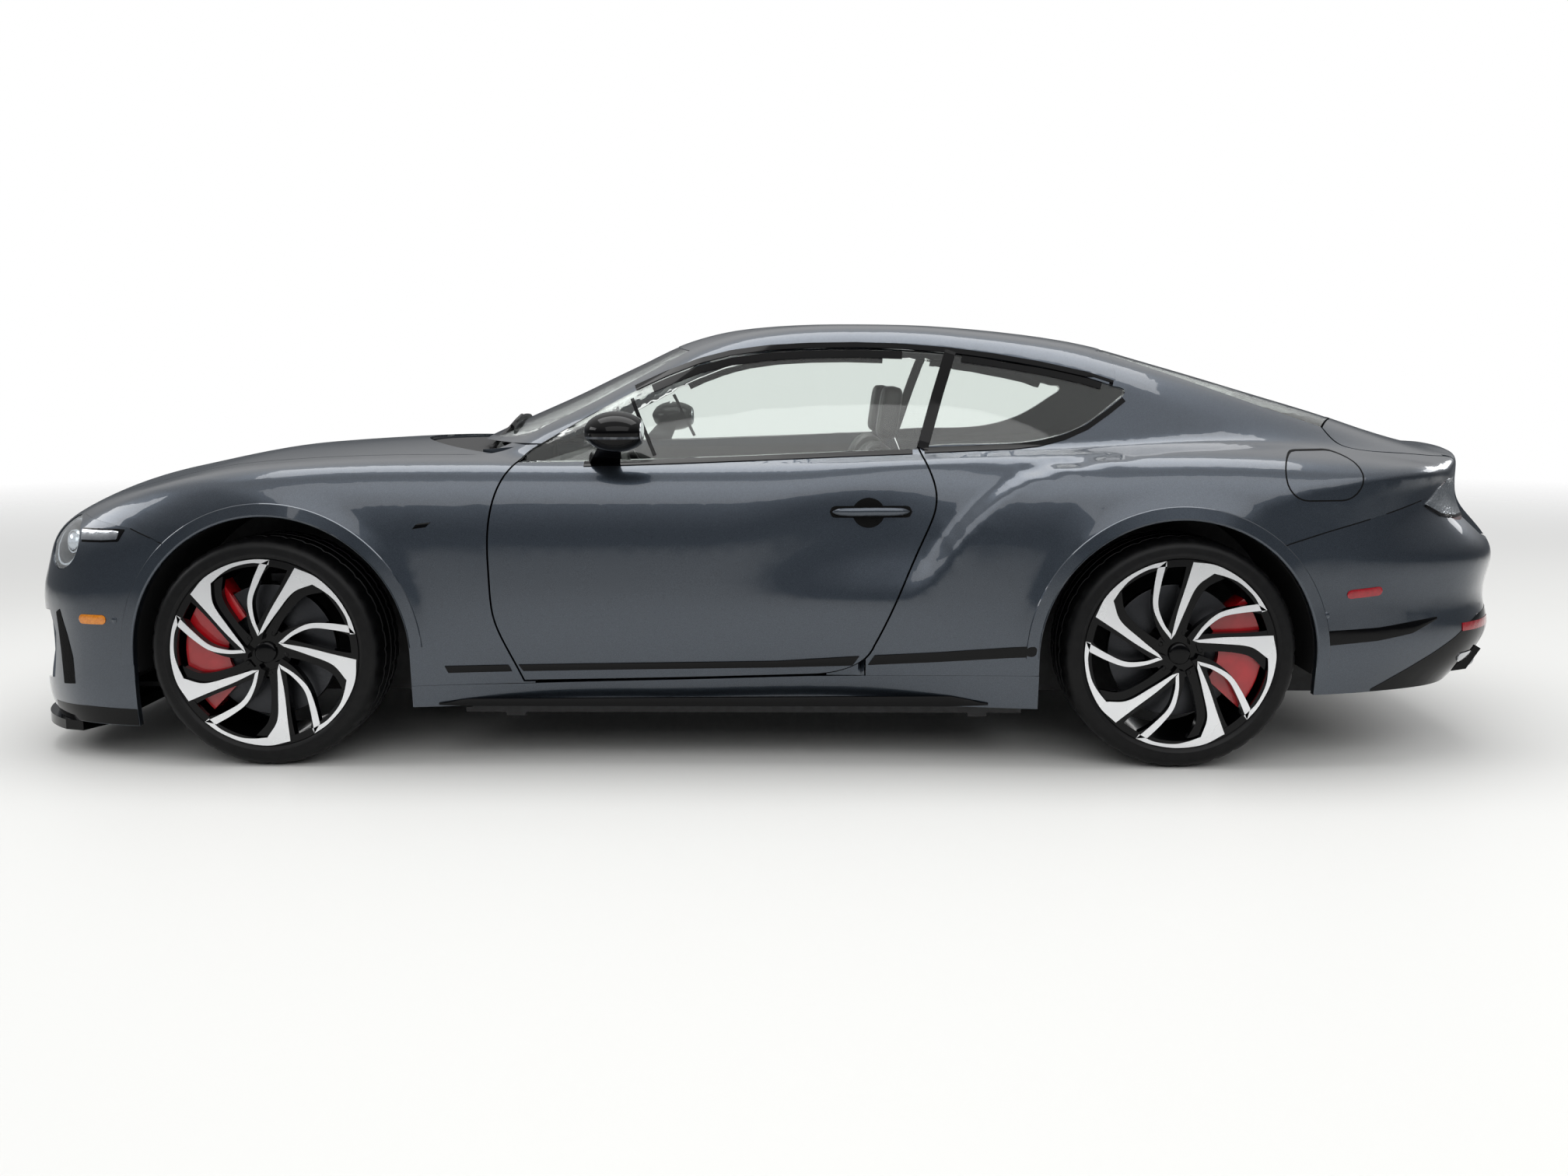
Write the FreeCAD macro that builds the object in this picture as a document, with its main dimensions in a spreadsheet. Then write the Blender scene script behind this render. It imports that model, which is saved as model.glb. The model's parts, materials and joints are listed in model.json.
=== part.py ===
# Two-door coupe car in millimetres
# +X points to the tail, +Y to the car's right, +Z up, origin on the ground under the middle
import FreeCAD, Part
import math
import os

Vec = FreeCAD.Vector
doc = FreeCAD.newDocument("CoupeCar")


# Driving dimensions
SIZES = [
    ("wheelbase", 2851, "front axle to rear axle"),
    ("front_overhang", 905, "nose to front axle"),
    ("rear_overhang", 1139, "rear axle to tail"),
    ("body_width", 1966, "over the rear haunches"),
    ("roof_height", 1400, "ground to the top of the roof"),
    ("tyre_radius", 363, "mean of the free and the loaded tyre"),
    ("front_tyre_width", 275, "tyre section, front"),
    ("rear_tyre_width", 305, "tyre section, rear"),
    ("front_track", 1665, "between the middles of the front tyres"),
    ("rear_track", 1635, "between the middles of the rear tyres"),
    ("rim_radius", 296, "machined face of the rim"),
    ("barrel_wall", 12, "wall of the rim's barrel"),
    ("disc_radius", 208, "brake disc"),
    ("disc_thickness", 34, "brake disc"),
    ("caliper_gap", 6, "caliper to disc and to spokes"),
    ("front_arch_radius", 440, "front wheel opening"),
    ("rear_arch_radius", 430, "rear wheel opening"),
    ("ground_clearance", 150, "ground to the flat underfloor"),
    ("skin", 32, "bumper, wing and quarter with their frames"),
    ("door_thickness", 105, "whole door from skin to trim"),
    ("lid_thickness", 26, "bonnet and boot lid with their frames"),
    ("roof_thickness", 34, "roof and pillars with their trim"),
    ("glass", 5, "all window glass"),
    ("shut_gap", 6, "gap round doors, bonnet and boot lid"),
    ("seam", 0.4, "gap between fixed panels and round fixed glass"),
    ("fit", 0.3, "clearance where one piece seats on another"),
    ("seat_width", 520, "front seat"),
    ("engine_length", 720, "engine block"),
    ("engine_width", 620, "engine block"),
    ("engine_depth", 520, "engine block"),
    ("steering_wheel_radius", 185, "rim's middle"),
    ("tow_eye_thread", 20, "threaded hole for the towing eye"),
    ("tow_eye_depth", 60, "length of the threaded hole"),
    ("jack_pad_width", 60, "flat jacking pad"),
]

sheet = doc.addObject("Spreadsheet::Sheet", "Sizes")
for row, (alias, value, note) in enumerate(SIZES, start=1):
    sheet.set("A%d" % row, alias)
    sheet.set("B%d" % row, str(value))
    sheet.set("C%d" % row, note)
    sheet.setAlias("B%d" % row, alias)
doc.recompute()


def size(alias):
    return float(sheet.get(alias))


WHEELBASE = size("wheelbase")
TYRE_RADIUS = size("tyre_radius")
SKIN = size("skin")
SHUT_GAP = size("shut_gap")
SEAM = size("seam")
FIT = size("fit")
OVERALL_LENGTH = size("front_overhang") + WHEELBASE + size("rear_overhang")
FRONT_AXLE_X = size("front_overhang") - OVERALL_LENGTH / 2
REAR_AXLE_X = FRONT_AXLE_X + WHEELBASE

# The styling lines below are drawn on a car of these sizes and follow the sheet through place()
DRAWN_WHEELBASE = 2851.0
DRAWN_FRONT_OVERHANG = 905.0
DRAWN_REAR_OVERHANG = 1139.0
DRAWN_HALF_WIDTH = 983.0
DRAWN_HEIGHT = 1400.0
WIDTH_RATIO = size("body_width") / 2 / DRAWN_HALF_WIDTH
HEIGHT_RATIO = size("roof_height") / DRAWN_HEIGHT


def along(station):
    """X of a station, drawn in mm behind the front axle."""
    if station < 0:
        return FRONT_AXLE_X + station * size("front_overhang") / DRAWN_FRONT_OVERHANG
    if station > DRAWN_WHEELBASE:
        behind = station - DRAWN_WHEELBASE
        return REAR_AXLE_X + behind * size("rear_overhang") / DRAWN_REAR_OVERHANG
    return FRONT_AXLE_X + station * WHEELBASE / DRAWN_WHEELBASE


def across(half_width):
    """Y of a drawn distance from the centre plane, positive to the right."""
    return half_width * WIDTH_RATIO


def up(height):
    """Z of a drawn height."""
    return height * HEIGHT_RATIO


def place(station, half_width, height):
    return Vec(along(station), across(half_width), up(height))


# Smooth lines and blends
class Line:
    """Natural cubic spline through a few (place, value) points, straight beyond its ends."""

    def __init__(self, *points):
        self.at = [float(p[0]) for p in points]
        self.value = [float(p[1]) for p in points]
        self.bend = self.bends()
        self.last = (None, None)

    def bends(self):
        count = len(self.at)
        lower, main, upper, right = ([0.0] * count for _ in range(4))
        main[0] = main[-1] = 1.0
        for i in range(1, count - 1):
            before = self.at[i] - self.at[i - 1]
            after = self.at[i + 1] - self.at[i]
            lower[i], main[i], upper[i] = before, 2 * (before + after), after
            rise = (self.value[i + 1] - self.value[i]) / after
            right[i] = 6 * (rise - (self.value[i] - self.value[i - 1]) / before)
        for i in range(1, count):
            share = lower[i] / main[i - 1]
            main[i] -= share * upper[i - 1]
            right[i] -= share * right[i - 1]
        bend = [0.0] * count
        for i in range(count - 2, 0, -1):
            bend[i] = (right[i] - upper[i] * bend[i + 1]) / main[i]
        return bend

    def slope(self, i, j):
        width = self.at[j] - self.at[i]
        rise = (self.value[j] - self.value[i]) / width
        return rise - width * (2 * self.bend[i] + self.bend[j]) / 6

    def __call__(self, where):
        if where == self.last[0]:
            return self.last[1]
        if where <= self.at[0]:
            result = self.value[0] + (where - self.at[0]) * self.slope(0, 1)
        elif where >= self.at[-1]:
            result = self.value[-1] + (where - self.at[-1]) * self.slope(-1, -2)
        else:
            result = self.inside(where)
        self.last = (where, result)
        return result

    def inside(self, where):
        i = 0
        while self.at[i + 1] < where:
            i += 1
        width = self.at[i + 1] - self.at[i]
        a = (self.at[i + 1] - where) / width
        b = 1 - a
        curve = (a ** 3 - a) * self.bend[i] + (b ** 3 - b) * self.bend[i + 1]
        return a * self.value[i] + b * self.value[i + 1] + curve * width * width / 6


def soft_max(a, b, radius):
    """The larger of two values, rounded where they meet."""
    near = max(radius - abs(a - b), 0.0) / radius
    return max(a, b) + near ** 3 * radius / 6


def soft_min(a, b, radius):
    return -soft_max(-a, -b, radius)


def ramp(value, start, end):
    """0 before start, 1 after end, smooth between."""
    share = min(max((value - start) / (end - start), 0.0), 1.0)
    return share * share * share * (share * (6 * share - 15) + 10)


# Styling lines of the lower body: stations in mm behind the front axle
shoulder_height = Line((-905, 660), (-728, 722), (-600, 779), (-432, 843), (-140, 917), (0, 934),
                       (150, 945), (500, 952), (900, 948), (1400, 946), (1850, 949), (2340, 956),
                       (2650, 962), (2850, 966), (3050, 962), (3270, 948), (3500, 927),
                       (3700, 905), (3992, 880))
shoulder_rise = Line((-905, 120), (-728, 110), (-600, 99), (-432, 75), (-140, 56), (0, 51),
                     (500, 55), (900, 60), (1400, 80), (1850, 105), (2340, 120), (2850, 110),
                     (3300, 120), (3580, 100), (3830, 60), (3992, 40))
side_width = Line((-905, 985), (-400, 975), (0, 978), (450, 968), (900, 957), (1400, 955),
                  (1900, 960), (2300, 972), (2850, 983), (3250, 975), (3600, 950), (3992, 905))
tuck_in = Line((-905, 60), (-420, 22), (0, 12), (440, 12), (700, 32), (1300, 42), (2000, 42),
               (2400, 14), (2850, 8), (3270, 18), (3600, 60), (3992, 120))
# Plan outline of the nose and the tail: station at each distance from the centre plane
nose_line = Line((0, -905), (300, -898), (500, -878), (650, -838), (750, -780), (830, -700),
                 (890, -600), (930, -480), (955, -340), (970, -180))
tail_line = Line((0, 3992), (300, 3989), (450, 3983), (600, 3945), (700, 3885), (800, 3770),
                 (880, 3600), (930, 3430), (960, 3250))
lip_line = Line((0, 3945), (300, 3910), (450, 3867), (600, 3806), (700, 3750), (800, 3670),
                (880, 3560), (930, 3420), (960, 3250))
# How far the nose and the tail stand back at each height
nose_rake = Line((90, 40), (180, 2), (290, 0), (470, 0), (547, 5), (600, 20), (680, 44),
                 (728, 68), (777, 110), (832, 177))
tail_rake = Line((200, 150), (250, 110), (300, 60), (350, 22), (410, 2), (470, 14), (544, 17),
                 (600, 4), (640, 0), (700, 18), (770, 34), (850, 20), (926, 0), (980, 0))
# Front edge of the haunch: its station at each height
haunch_front = Line((480, 1960), (605, 2088), (700, 2150), (798, 2229), (858, 2300), (901, 2370),
                    (930, 2460), (946, 2559))
# Cabin
cabin_top = Line((300, 905), (450, 968), (554, 1013), (670, 1066), (902, 1168), (1017, 1223),
                 (1132, 1277), (1218, 1318), (1304, 1349), (1417, 1376), (1531, 1390),
                 (1700, 1399), (1870, 1400), (2096, 1395), (2322, 1378), (2548, 1350),
                 (2718, 1316), (2832, 1284), (3002, 1235), (3287, 1150), (3516, 1080),
                 (3630, 1041), (3745, 1006), (3831, 986), (3930, 978), (4100, 974))
cabin_width = Line((500, 760), (800, 800), (1200, 822), (1850, 815), (2340, 800), (2700, 772),
                   (3000, 738), (3300, 700), (3600, 655), (3992, 600))
cabin_lean = Line((500, 0.46), (1850, 0.43), (2340, 0.46), (2700, 0.55), (3100, 0.75), (3600, 1.2))
SCREEN_CURVE = 0.00027
BELT_HEIGHT = 990.0
SHOULDER_ROUND = 130.0
CORNER_ROUND = 110.0
CANT_ROUND = 130.0
CABIN_FILLET = 45.0
CABIN_START = 300.0
CABIN_FLOOR = 700.0
FLARE_WIDTH = 38.0
FLARE_DEPTH = 9.0


def haunch_recess(station, height):
    """How much the side is pinched in ahead of the haunch."""
    ahead = haunch_front(height) - station
    depth = 30 * ramp(height, 480, 760)
    return depth * ramp(ahead, -30, 75) * (1 - ramp(ahead, 80, 800))


def flare(station, height):
    """Raised ring round each wheel opening."""
    result = 0.0
    for axle, radius in ((18.0, 440.0), (DRAWN_WHEELBASE - 6, 430.0)):
        away = math.hypot(station - axle, height - 350.0) - radius - 22
        result += FLARE_DEPTH * math.exp(-(away / FLARE_WIDTH) ** 2)
    return result


def lower_body(station, half, height):
    """Negative inside the lower body, positive outside."""
    low = max(560.0 - height, 0.0) / 290
    high = max(height - 680.0, 0.0) / 320
    inset = tuck_in(station) * low * low + 60 * high * high
    side = half - side_width(station) + inset + haunch_recess(station, height)
    side -= flare(station, height) * ramp(height, 160, 420)
    spread = half / 930.0
    top = height - shoulder_height(station) - shoulder_rise(station) * (1 - spread * spread)
    body = soft_max(side, top, SHOULDER_ROUND)
    if station < 300:
        body = soft_max(body, nose_line(half) + nose_rake(height) - station, CORNER_ROUND)
    if station > 3000:
        share = ramp(height, 640, 930)
        end = tail_line(half) * (1 - share) + lip_line(half) * share - tail_rake(height)
        body = soft_max(body, station - end, CORNER_ROUND * (1 - 0.6 * ramp(height, 850, 950)))
    return body


def cabin(station, half, height):
    turn = 1 - 2 * ramp(station, 1300, 2500)
    reach = half * half * SCREEN_CURVE
    top = height - cabin_top(station - turn * reach) + 0.00006 * half * half
    above = max(height - BELT_HEIGHT, -60.0)
    side = half - cabin_width(station) + cabin_lean(station) * above + 0.00012 * above * above
    shape = soft_max(top, side, CANT_ROUND)
    if station > 3000:
        shape = soft_max(shape, station - lip_line(half), 40.0)
    return shape


def whole_body(station, half, height):
    if station < CABIN_START or height < CABIN_FLOOR:
        return lower_body(station, half, height)
    return soft_min(lower_body(station, half, height), cabin(station, half, height), CABIN_FILLET)


def reach_skin(form, start, ray, near, far):
    """Distance from start along ray to the skin of a form."""
    steps = 34
    for _ in range(steps):
        middle = (near + far) / 2
        point = start + ray * middle
        if form(point.x, abs(point.y), point.z) < 0:
            near = middle
        else:
            far = middle
        if far - near < 0.002:
            break
    return (near + far) / 2


# Rays: each gives a start inside the car and a direction, in drawn sizes
SPINE_HALF = 300.0
SPINE_HEIGHT = 720.0
NOSE_SPINE = -300.0
TAIL_SPINE = 3300.0
CORNER_SPAN = 900.0
LID_SPINE = 3200.0


def side_ray(run, tilt):
    """Ray round the car: run is the station on the left, wrapped round nose and tail."""
    if run > TAIL_SPINE:
        end, past, sense = TAIL_SPINE, run - TAIL_SPINE, 1
    else:
        end, past, sense = NOSE_SPINE, NOSE_SPINE - run, -1
    turn = math.pi / 2 * max(min(1 - past / CORNER_SPAN, 1.0), -1.0)
    station = end if past > 0 else run
    if past > 2 * CORNER_SPAN:
        station = end - sense * (past - 2 * CORNER_SPAN)
    start = Vec(station, -SPINE_HALF * math.sin(turn), SPINE_HEIGHT)
    flat = Vec(sense * math.cos(turn), -math.sin(turn), 0)
    angle = math.radians(tilt)
    return start, flat * math.cos(angle) + Vec(0, 0, math.sin(angle))


def over_ray(station, tilt):
    """Ray over the cabin, tilt 0 straight up and positive to the right."""
    angle = math.radians(tilt)
    return Vec(station, 0, 850), Vec(0, math.sin(angle), math.cos(angle))


def lid_ray(half, tilt):
    """Ray over the tail at a distance from the centre plane, tilt 0 up and 90 to the rear."""
    angle = math.radians(tilt)
    return Vec(LID_SPINE, half, 600), Vec(math.sin(angle), 0, math.cos(angle))


def up_ray(station, half):
    """Vertical ray at a distance from the centre plane."""
    return Vec(station, half, 560), Vec(0, 0, 1)


def spread(start, end, step):
    count = max(int(round(abs(end - start) / step)), 3)
    return [start + (end - start) * i / count for i in range(count + 1)]


def skin_patch(form, ray, runs, tilts, thickness, sink=0.0, near=60.0, far=1900.0):
    """Solid between the car's skin and the same skin moved inwards along the rays."""
    outer, inner = [], []
    for run in runs:
        outer_row, inner_row = [], []
        for tilt in tilts:
            start, direction = ray(run, tilt)
            reach = reach_skin(form, start, direction, near, far)
            point = start + direction * (reach - sink)
            deep = start + direction * (reach - sink - thickness)
            outer_row.append(place(point.x, point.y, point.z))
            inner_row.append(place(deep.x, deep.y, deep.z))
        outer.append(outer_row)
        inner.append(inner_row)
    return solid_between(outer, inner)


def solid_between(outer, inner):
    """Solid between two skins given as grids of points, closed by ruled edges."""
    faces, borders = [], []
    for grid in (outer, inner):
        surface = Part.BSplineSurface()
        surface.interpolate(grid)
        u0, u1, v0, v1 = surface.bounds()
        faces.append(surface.toShape())
        borders.append([c.toShape() for c in (surface.uIso(u0), surface.uIso(u1),
                                              surface.vIso(v0), surface.vIso(v1))])
    for outer_edge, inner_edge in zip(*borders):
        faces.append(Part.makeRuledSurface(outer_edge, inner_edge))
    return closed_solid(faces)


def closed_solid(faces):
    shell = Part.makeShell(faces)
    shell.sewShape()
    solid = Part.makeSolid(Part.Shell(shell.Faces))
    if solid.Volume < 0:
        solid.reverse()
    return solid


# Outlines and their prisms
def wire_through(runs, lift):
    """Closed wire: each run is two points for a straight, more for a smooth curve."""
    edges = []
    for run in runs:
        points = [lift(p) for p in run]
        if len(points) == 2:
            edges.append(Part.LineSegment(points[0], points[1]).toShape())
        else:
            curve = Part.BSplineCurve()
            curve.interpolate(points)
            edges.append(curve.toShape())
    return Part.Wire(edges)


def crossing(one, other):
    """Where two (point, heading) lines cross, or the middle of their points if they are parallel."""
    (p, a), (q, b) = one, other
    turn = a.x * b.y - a.y * b.x
    if abs(turn) < 0.02:
        return (p + q) / 2
    return p + a * (((q.x - p.x) * b.y - (q.y - p.y) * b.x) / turn)


def inset(runs, gap):
    """Closed outline moved inwards by a gap, with its corners where the moved runs cross."""
    corners = [Vec(x, y, 0) for run in runs for x, y in run[:-1]]
    area = sum(p.x * q.y - p.y * q.x for p, q in zip(corners, corners[1:] + corners[:1]))
    sense = 1 if area > 0 else -1
    moved_runs = []
    for run in runs:
        points = [Vec(x, y, 0) for x, y in run]
        headings = [(points[-1] - points[0]).normalize()] * len(points)
        if len(points) > 2:
            curve = Part.BSplineCurve()
            curve.interpolate(points)
            headings = [Vec(*curve.tangent(curve.parameter(p))[0]) for p in points]
        moved_runs.append([(p + Vec(-t.y, t.x, 0) * gap * sense, t) for p, t in zip(points, headings)])
    result = []
    for i, run in enumerate(moved_runs):
        start = crossing(moved_runs[i - 1][-1], run[0])
        end = crossing(run[-1], moved_runs[(i + 1) % len(moved_runs)][0])
        middle = [(p.x, p.y) for p, _ in run[1:-1]]
        result.append([(start.x, start.y)] + middle + [(end.x, end.y)])
    return result


def box(x0, x1, y0, y1, z0, z1):
    return Part.makeBox(x1 - x0, y1 - y0, z1 - z0, Vec(x0, y0, z0))


def drawn_box(s0, s1, y0, y1, z0, z1):
    return box(along(s0), along(s1), across(y0), across(y1), up(z0), up(z1))


def keep_solids(shape, smallest=2000.0):
    solids = [s for s in shape.Solids if s.Volume > smallest]
    return solids[0] if len(solids) == 1 else Part.makeCompound(solids)


def mirrored(shape):
    return shape.mirror(Vec(0, 0, 0), Vec(0, 1, 0))


def both_sides(shape):
    return Part.makeCompound(list(shape.Solids) + list(mirrored(shape).Solids))


# Hinges: a pin in the panel turns in a lug that stands on the floor structure
HINGE_PIN = 5.0
LUG_HALF = 9.0
LUG_THICK = 10.0
LUG_ROOM = 1.5
PIN_LAP = 8.0


def hinge_lug(pivot, axis, toward, length, grow=0.0):
    """Flat lug from its pivot towards its foot, with a rounded end."""
    half = LUG_HALF + grow
    thick = LUG_THICK + 2 * grow
    across_lug = axis.cross(toward)
    start = pivot - axis * (thick / 2)
    corners = [start - across_lug * half, start + across_lug * half,
               start + across_lug * half + toward * length, start - across_lug * half + toward * length]
    plate = Part.Face(Part.makePolygon(corners + corners[:1])).extrude(axis * thick)
    return plate.fuse(Part.makeCylinder(half, thick, start, axis))


def hinge_pin(pivot, axis, radius, extra=PIN_LAP):
    long = LUG_THICK + 2 * LUG_ROOM + 2 * extra
    return Part.makeCylinder(radius, long, pivot - axis * (long / 2), axis)


def hinged(panel, pivot, axis, toward, length, travel):
    """Panel with room for its lug through the travel, in degrees, and with its pin."""
    room = hinge_lug(pivot, axis, toward, length, LUG_ROOM)
    thick = LUG_THICK + 2 * LUG_ROOM
    start = pivot - axis * (thick / 2)
    corners = [start, start + toward * length, start + toward * length + axis * thick, start + axis * thick]
    sweep = Part.Face(Part.makePolygon(corners + corners[:1])).revolve(pivot, axis, travel)
    last = room.copy()
    last.rotate(pivot, axis, travel)
    return panel.cut(Part.makeCompound([room, last, sweep])).fuse(hinge_pin(pivot, axis, HINGE_PIN))


def lug_with_hole(pivot, axis, toward, length):
    return hinge_lug(pivot, axis, toward, length).cut(hinge_pin(pivot, axis, HINGE_PIN + FIT))


DOOR_PIVOT = (790, -934)
DOOR_HINGES = (420, 790)
DOOR_TRAVEL = 65.0
POST_SIDE = 812.0
BONNET_PIVOT = (650, 695, 956)
BONNET_TRAVEL = 55.0
BONNET_LUG = 80.0
# The boot lid hangs on goosenecks, which pass under the rear screen's edge as they turn
BOOT_PIVOT = (3230, 560, 1015)
BOOT_LUG = 130.0
BOOT_LUG_WAY = Vec(-0.6, 0, -0.8)
GOOSENECK = [(0, 0), (40, -110), (105, -160), (185, -140), (215, -80), (195, 30)]
GOOSENECK_THICK = 8.0
GOOSENECK_IN = 11.0

PARTS = []


def add_part(name, shape):
    """Freeform sub-part: its sizes come from the sheet through the functions above."""
    item = doc.addObject("Part::Feature", name)
    item.Label = name
    item.Shape = shape
    PARTS.append(item)
    return item


def keep(item, name):
    item.Label = name
    PARTS.append(item)
    return item


# Shut lines seen from the side: (station, height)
DOOR_FRONT = [(790, 958), (745, 896), (714, 800), (705, 690), (708, 582), (719, 472), (751, 386),
              (804, 266)]
DOOR_BOTTOM = [(804, 266), (1300, 275), (1730, 287)]
DOOR_HEEL = [(1730, 287), (1812, 303), (1866, 330), (1909, 386)]
DOOR_REAR = [(1909, 386), (1945, 458), (2039, 673), (2074, 750), (2093, 800), (2099, 846),
             (2092, 892), (2074, 940), (2048, 996)]
BELT_LINE = [(2048, 996), (1850, 989), (1604, 979), (1210, 965), (1000, 960), (790, 958)]
DOOR_OPENING = [DOOR_FRONT, DOOR_BOTTOM, DOOR_HEEL, DOOR_REAR, BELT_LINE]


def drawn_wire(runs):
    return wire_through(runs, lambda p: place(p[0], -300.0, p[1]))


def prism_of(wire, depth=850.0):
    return Part.Face(wire).extrude(Vec(0, -across(depth), 0))


ARCH_DROP = 12.0
FRONT_ARCH_SHIFT = 18.0
REAR_ARCH_SHIFT = -6.0


def wheel_opening(axle_x, radius):
    """Round wheel opening through the left side, straight below the axle."""
    inner = across(400.0)
    middle = TYRE_RADIUS - ARCH_DROP
    disc = Part.makeCylinder(radius, across(800), Vec(axle_x, -inner, middle), Vec(0, -1, 0))
    below = box(axle_x - radius, axle_x + radius, -inner - across(800), -inner, -50, middle)
    return disc.fuse(below)


FRONT_OPENING = wheel_opening(FRONT_AXLE_X + FRONT_ARCH_SHIFT, size("front_arch_radius"))
REAR_OPENING = wheel_opening(REAR_AXLE_X + REAR_ARCH_SHIFT, size("rear_arch_radius"))
door_hole = prism_of(drawn_wire(DOOR_OPENING))
door_tool = prism_of(drawn_wire(inset(DOOR_OPENING, SHUT_GAP)))

# Lines where fixed panels meet, seen from the side
ROOF_LEDGE = 1008.0
NOSE_SEAM = [(-240, 672), (-330, 716), (-415, 750)]
LAMP_SEAM = [(-415, 750), (-560, 774), (-740, 800)]
TAIL_SEAM = [(3090, 655), (3160, 703), (3290, 742), (3450, 785), (3620, 833)]
WINDOW_TOP = [(846, 1004), (947, 1064), (1049, 1121), (1150, 1174), (1251, 1220), (1352, 1258),
              (1452, 1283), (1570, 1299), (1701, 1306), (1851, 1308), (2000, 1303), (2149, 1291),
              (2299, 1271), (2448, 1245), (2598, 1212), (2680, 1185)]
WINDOW_TIP = [(2680, 1185), (2716, 1166), (2706, 1152)]
WINDOW_HEEL = [(2706, 1152), (2651, 1112), (2580, 1066), (2508, 1036), (2420, 1015), (2338, 1007),
               (2048, 996)]
WINDOW_FRONT = [(790, 958), (815, 985), (846, 1004)]

# Lines seen from above, left half, from the centre plane outwards
BONNET_REAR = [(335, 0), (345, 120), (400, 300), (500, 500), (640, 660), (760, 752)]
BONNET_SIDE = [(760, 752), (500, 752), (120, 745), (-200, 722), (-420, 690), (-560, 640),
               (-680, 540)]
BONNET_FRONT = [(-680, 540), (-755, 400), (-790, 200), (-798, 0)]
SCREEN_BASE = [(560, 0), (580, 200), (640, 430), (730, 620), (792, 700)]
SCREEN_SIDE = [(792, 700), (1000, 655), (1180, 606), (1310, 560)]
SCREEN_HEAD = [(1310, 560), (1270, 400), (1243, 200), (1235, 0)]
REAR_HEAD = [(2735, 0), (2725, 200), (2690, 400), (2645, 510)]
REAR_SIDE = [(2645, 510), (2850, 545), (3100, 575), (3366, 608)]
REAR_BASE = [(3366, 608), (3440, 450), (3505, 220), (3527, 0)]
LID_FRONT = [(3527, 0), (3505, 220), (3440, 450), (3366, 608)]
LID_SIDE = [(3366, 608), (3384, 655), (3410, 686), (3450, 700), (3545, 688), (3650, 655), (3784, 610),
            (3900, 560)]
LID_END = [(3900, 560), (4100, 500)]
LID_FOOT = 690.0


def full_plan(half_runs):
    """Closed outline from the runs of its left half, which start and end on the centre plane."""
    left = [[(x, -y) for x, y in run] for run in half_runs]
    right = [[(x, y) for x, y in reversed(run)] for run in reversed(half_runs)]
    return left + right


def vertical(half_runs, gap=0.0, low=300.0, height=1300.0):
    """Upright prism from the left half of an outline seen from above, drawn in by a gap."""
    runs = inset(full_plan(half_runs), gap) if gap else full_plan(half_runs)
    wire = wire_through(runs, lambda p: place(p[0], p[1], low))
    return Part.Face(wire).extrude(Vec(0, 0, up(height)))


def oval_prism(centre, direction, half_long, half_high, gap=0.0):
    """Prism with an oval section: the lamps and their openings."""
    middle = place(*centre)
    axis = Vec(*direction).normalize()
    oval = Part.Ellipse(Vec(0, 0, 0), half_long + gap, half_high + gap).toShape()
    face = Part.Face(Part.Wire([oval]))
    flat = FreeCAD.Rotation(Vec(0, 0, 1).cross(axis), Vec(0, 0, 1), axis, "ZXY")
    face.Placement = FreeCAD.Placement(middle - axis * 300, flat)
    return face.extrude(axis * 600)


COWL_FRONT = BONNET_REAR[:-1] + [(702, 710)]
COWL_REAR = [(768, 706), (745, 600), (668, 420), (610, 200), (590, 0)]
COWL_OUTLINE = [COWL_FRONT, [COWL_FRONT[-1], COWL_REAR[0]], COWL_REAR]
BONNET_OUTLINE = [BONNET_REAR, BONNET_SIDE, BONNET_FRONT]
SCREEN_OUTLINE = [SCREEN_BASE, SCREEN_SIDE, SCREEN_HEAD]
REAR_OUTLINE = [REAR_HEAD, REAR_SIDE, REAR_BASE]
LID_OUTLINE = [LID_FRONT, LID_SIDE, LID_END, [(4100, 500), (4100, 0)]]
bonnet_hole = vertical(BONNET_OUTLINE)
lid_hole = vertical(LID_OUTLINE).common(box(-3000, 3000, -1200, 1200, up(LID_FOOT), 2000))
window_runs = [list(reversed(BELT_LINE)), list(reversed(WINDOW_HEEL)), list(reversed(WINDOW_TIP)),
               list(reversed(WINDOW_TOP)), list(reversed(WINDOW_FRONT))]
window_wire = drawn_wire(window_runs)
window_hole = prism_of(window_wire)

# Lamps: centre, direction they face, half length and half height
HEAD_LAMPS = [((-668, -762, 692), (-0.61, -0.79, 0.1), 100, 88),
              ((-800, -540, 672), (-0.93, -0.36, 0.1), 104, 103)]
TAIL_LAMP = ((3730, -690, 822), (0.80, -0.60, 0.0), 100, 62)
LAMP_GAP = 0.5
lamp_holes = [oval_prism(*lamp, gap=LAMP_GAP) for lamp in HEAD_LAMPS]
tail_hole = oval_prism(*TAIL_LAMP, gap=LAMP_GAP)

# Bonnet
bonnet_skin = skin_patch(lower_body, up_ray, spread(-815, 800, 40), spread(-770, 770, 40),
                         size("lid_thickness"))
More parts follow.
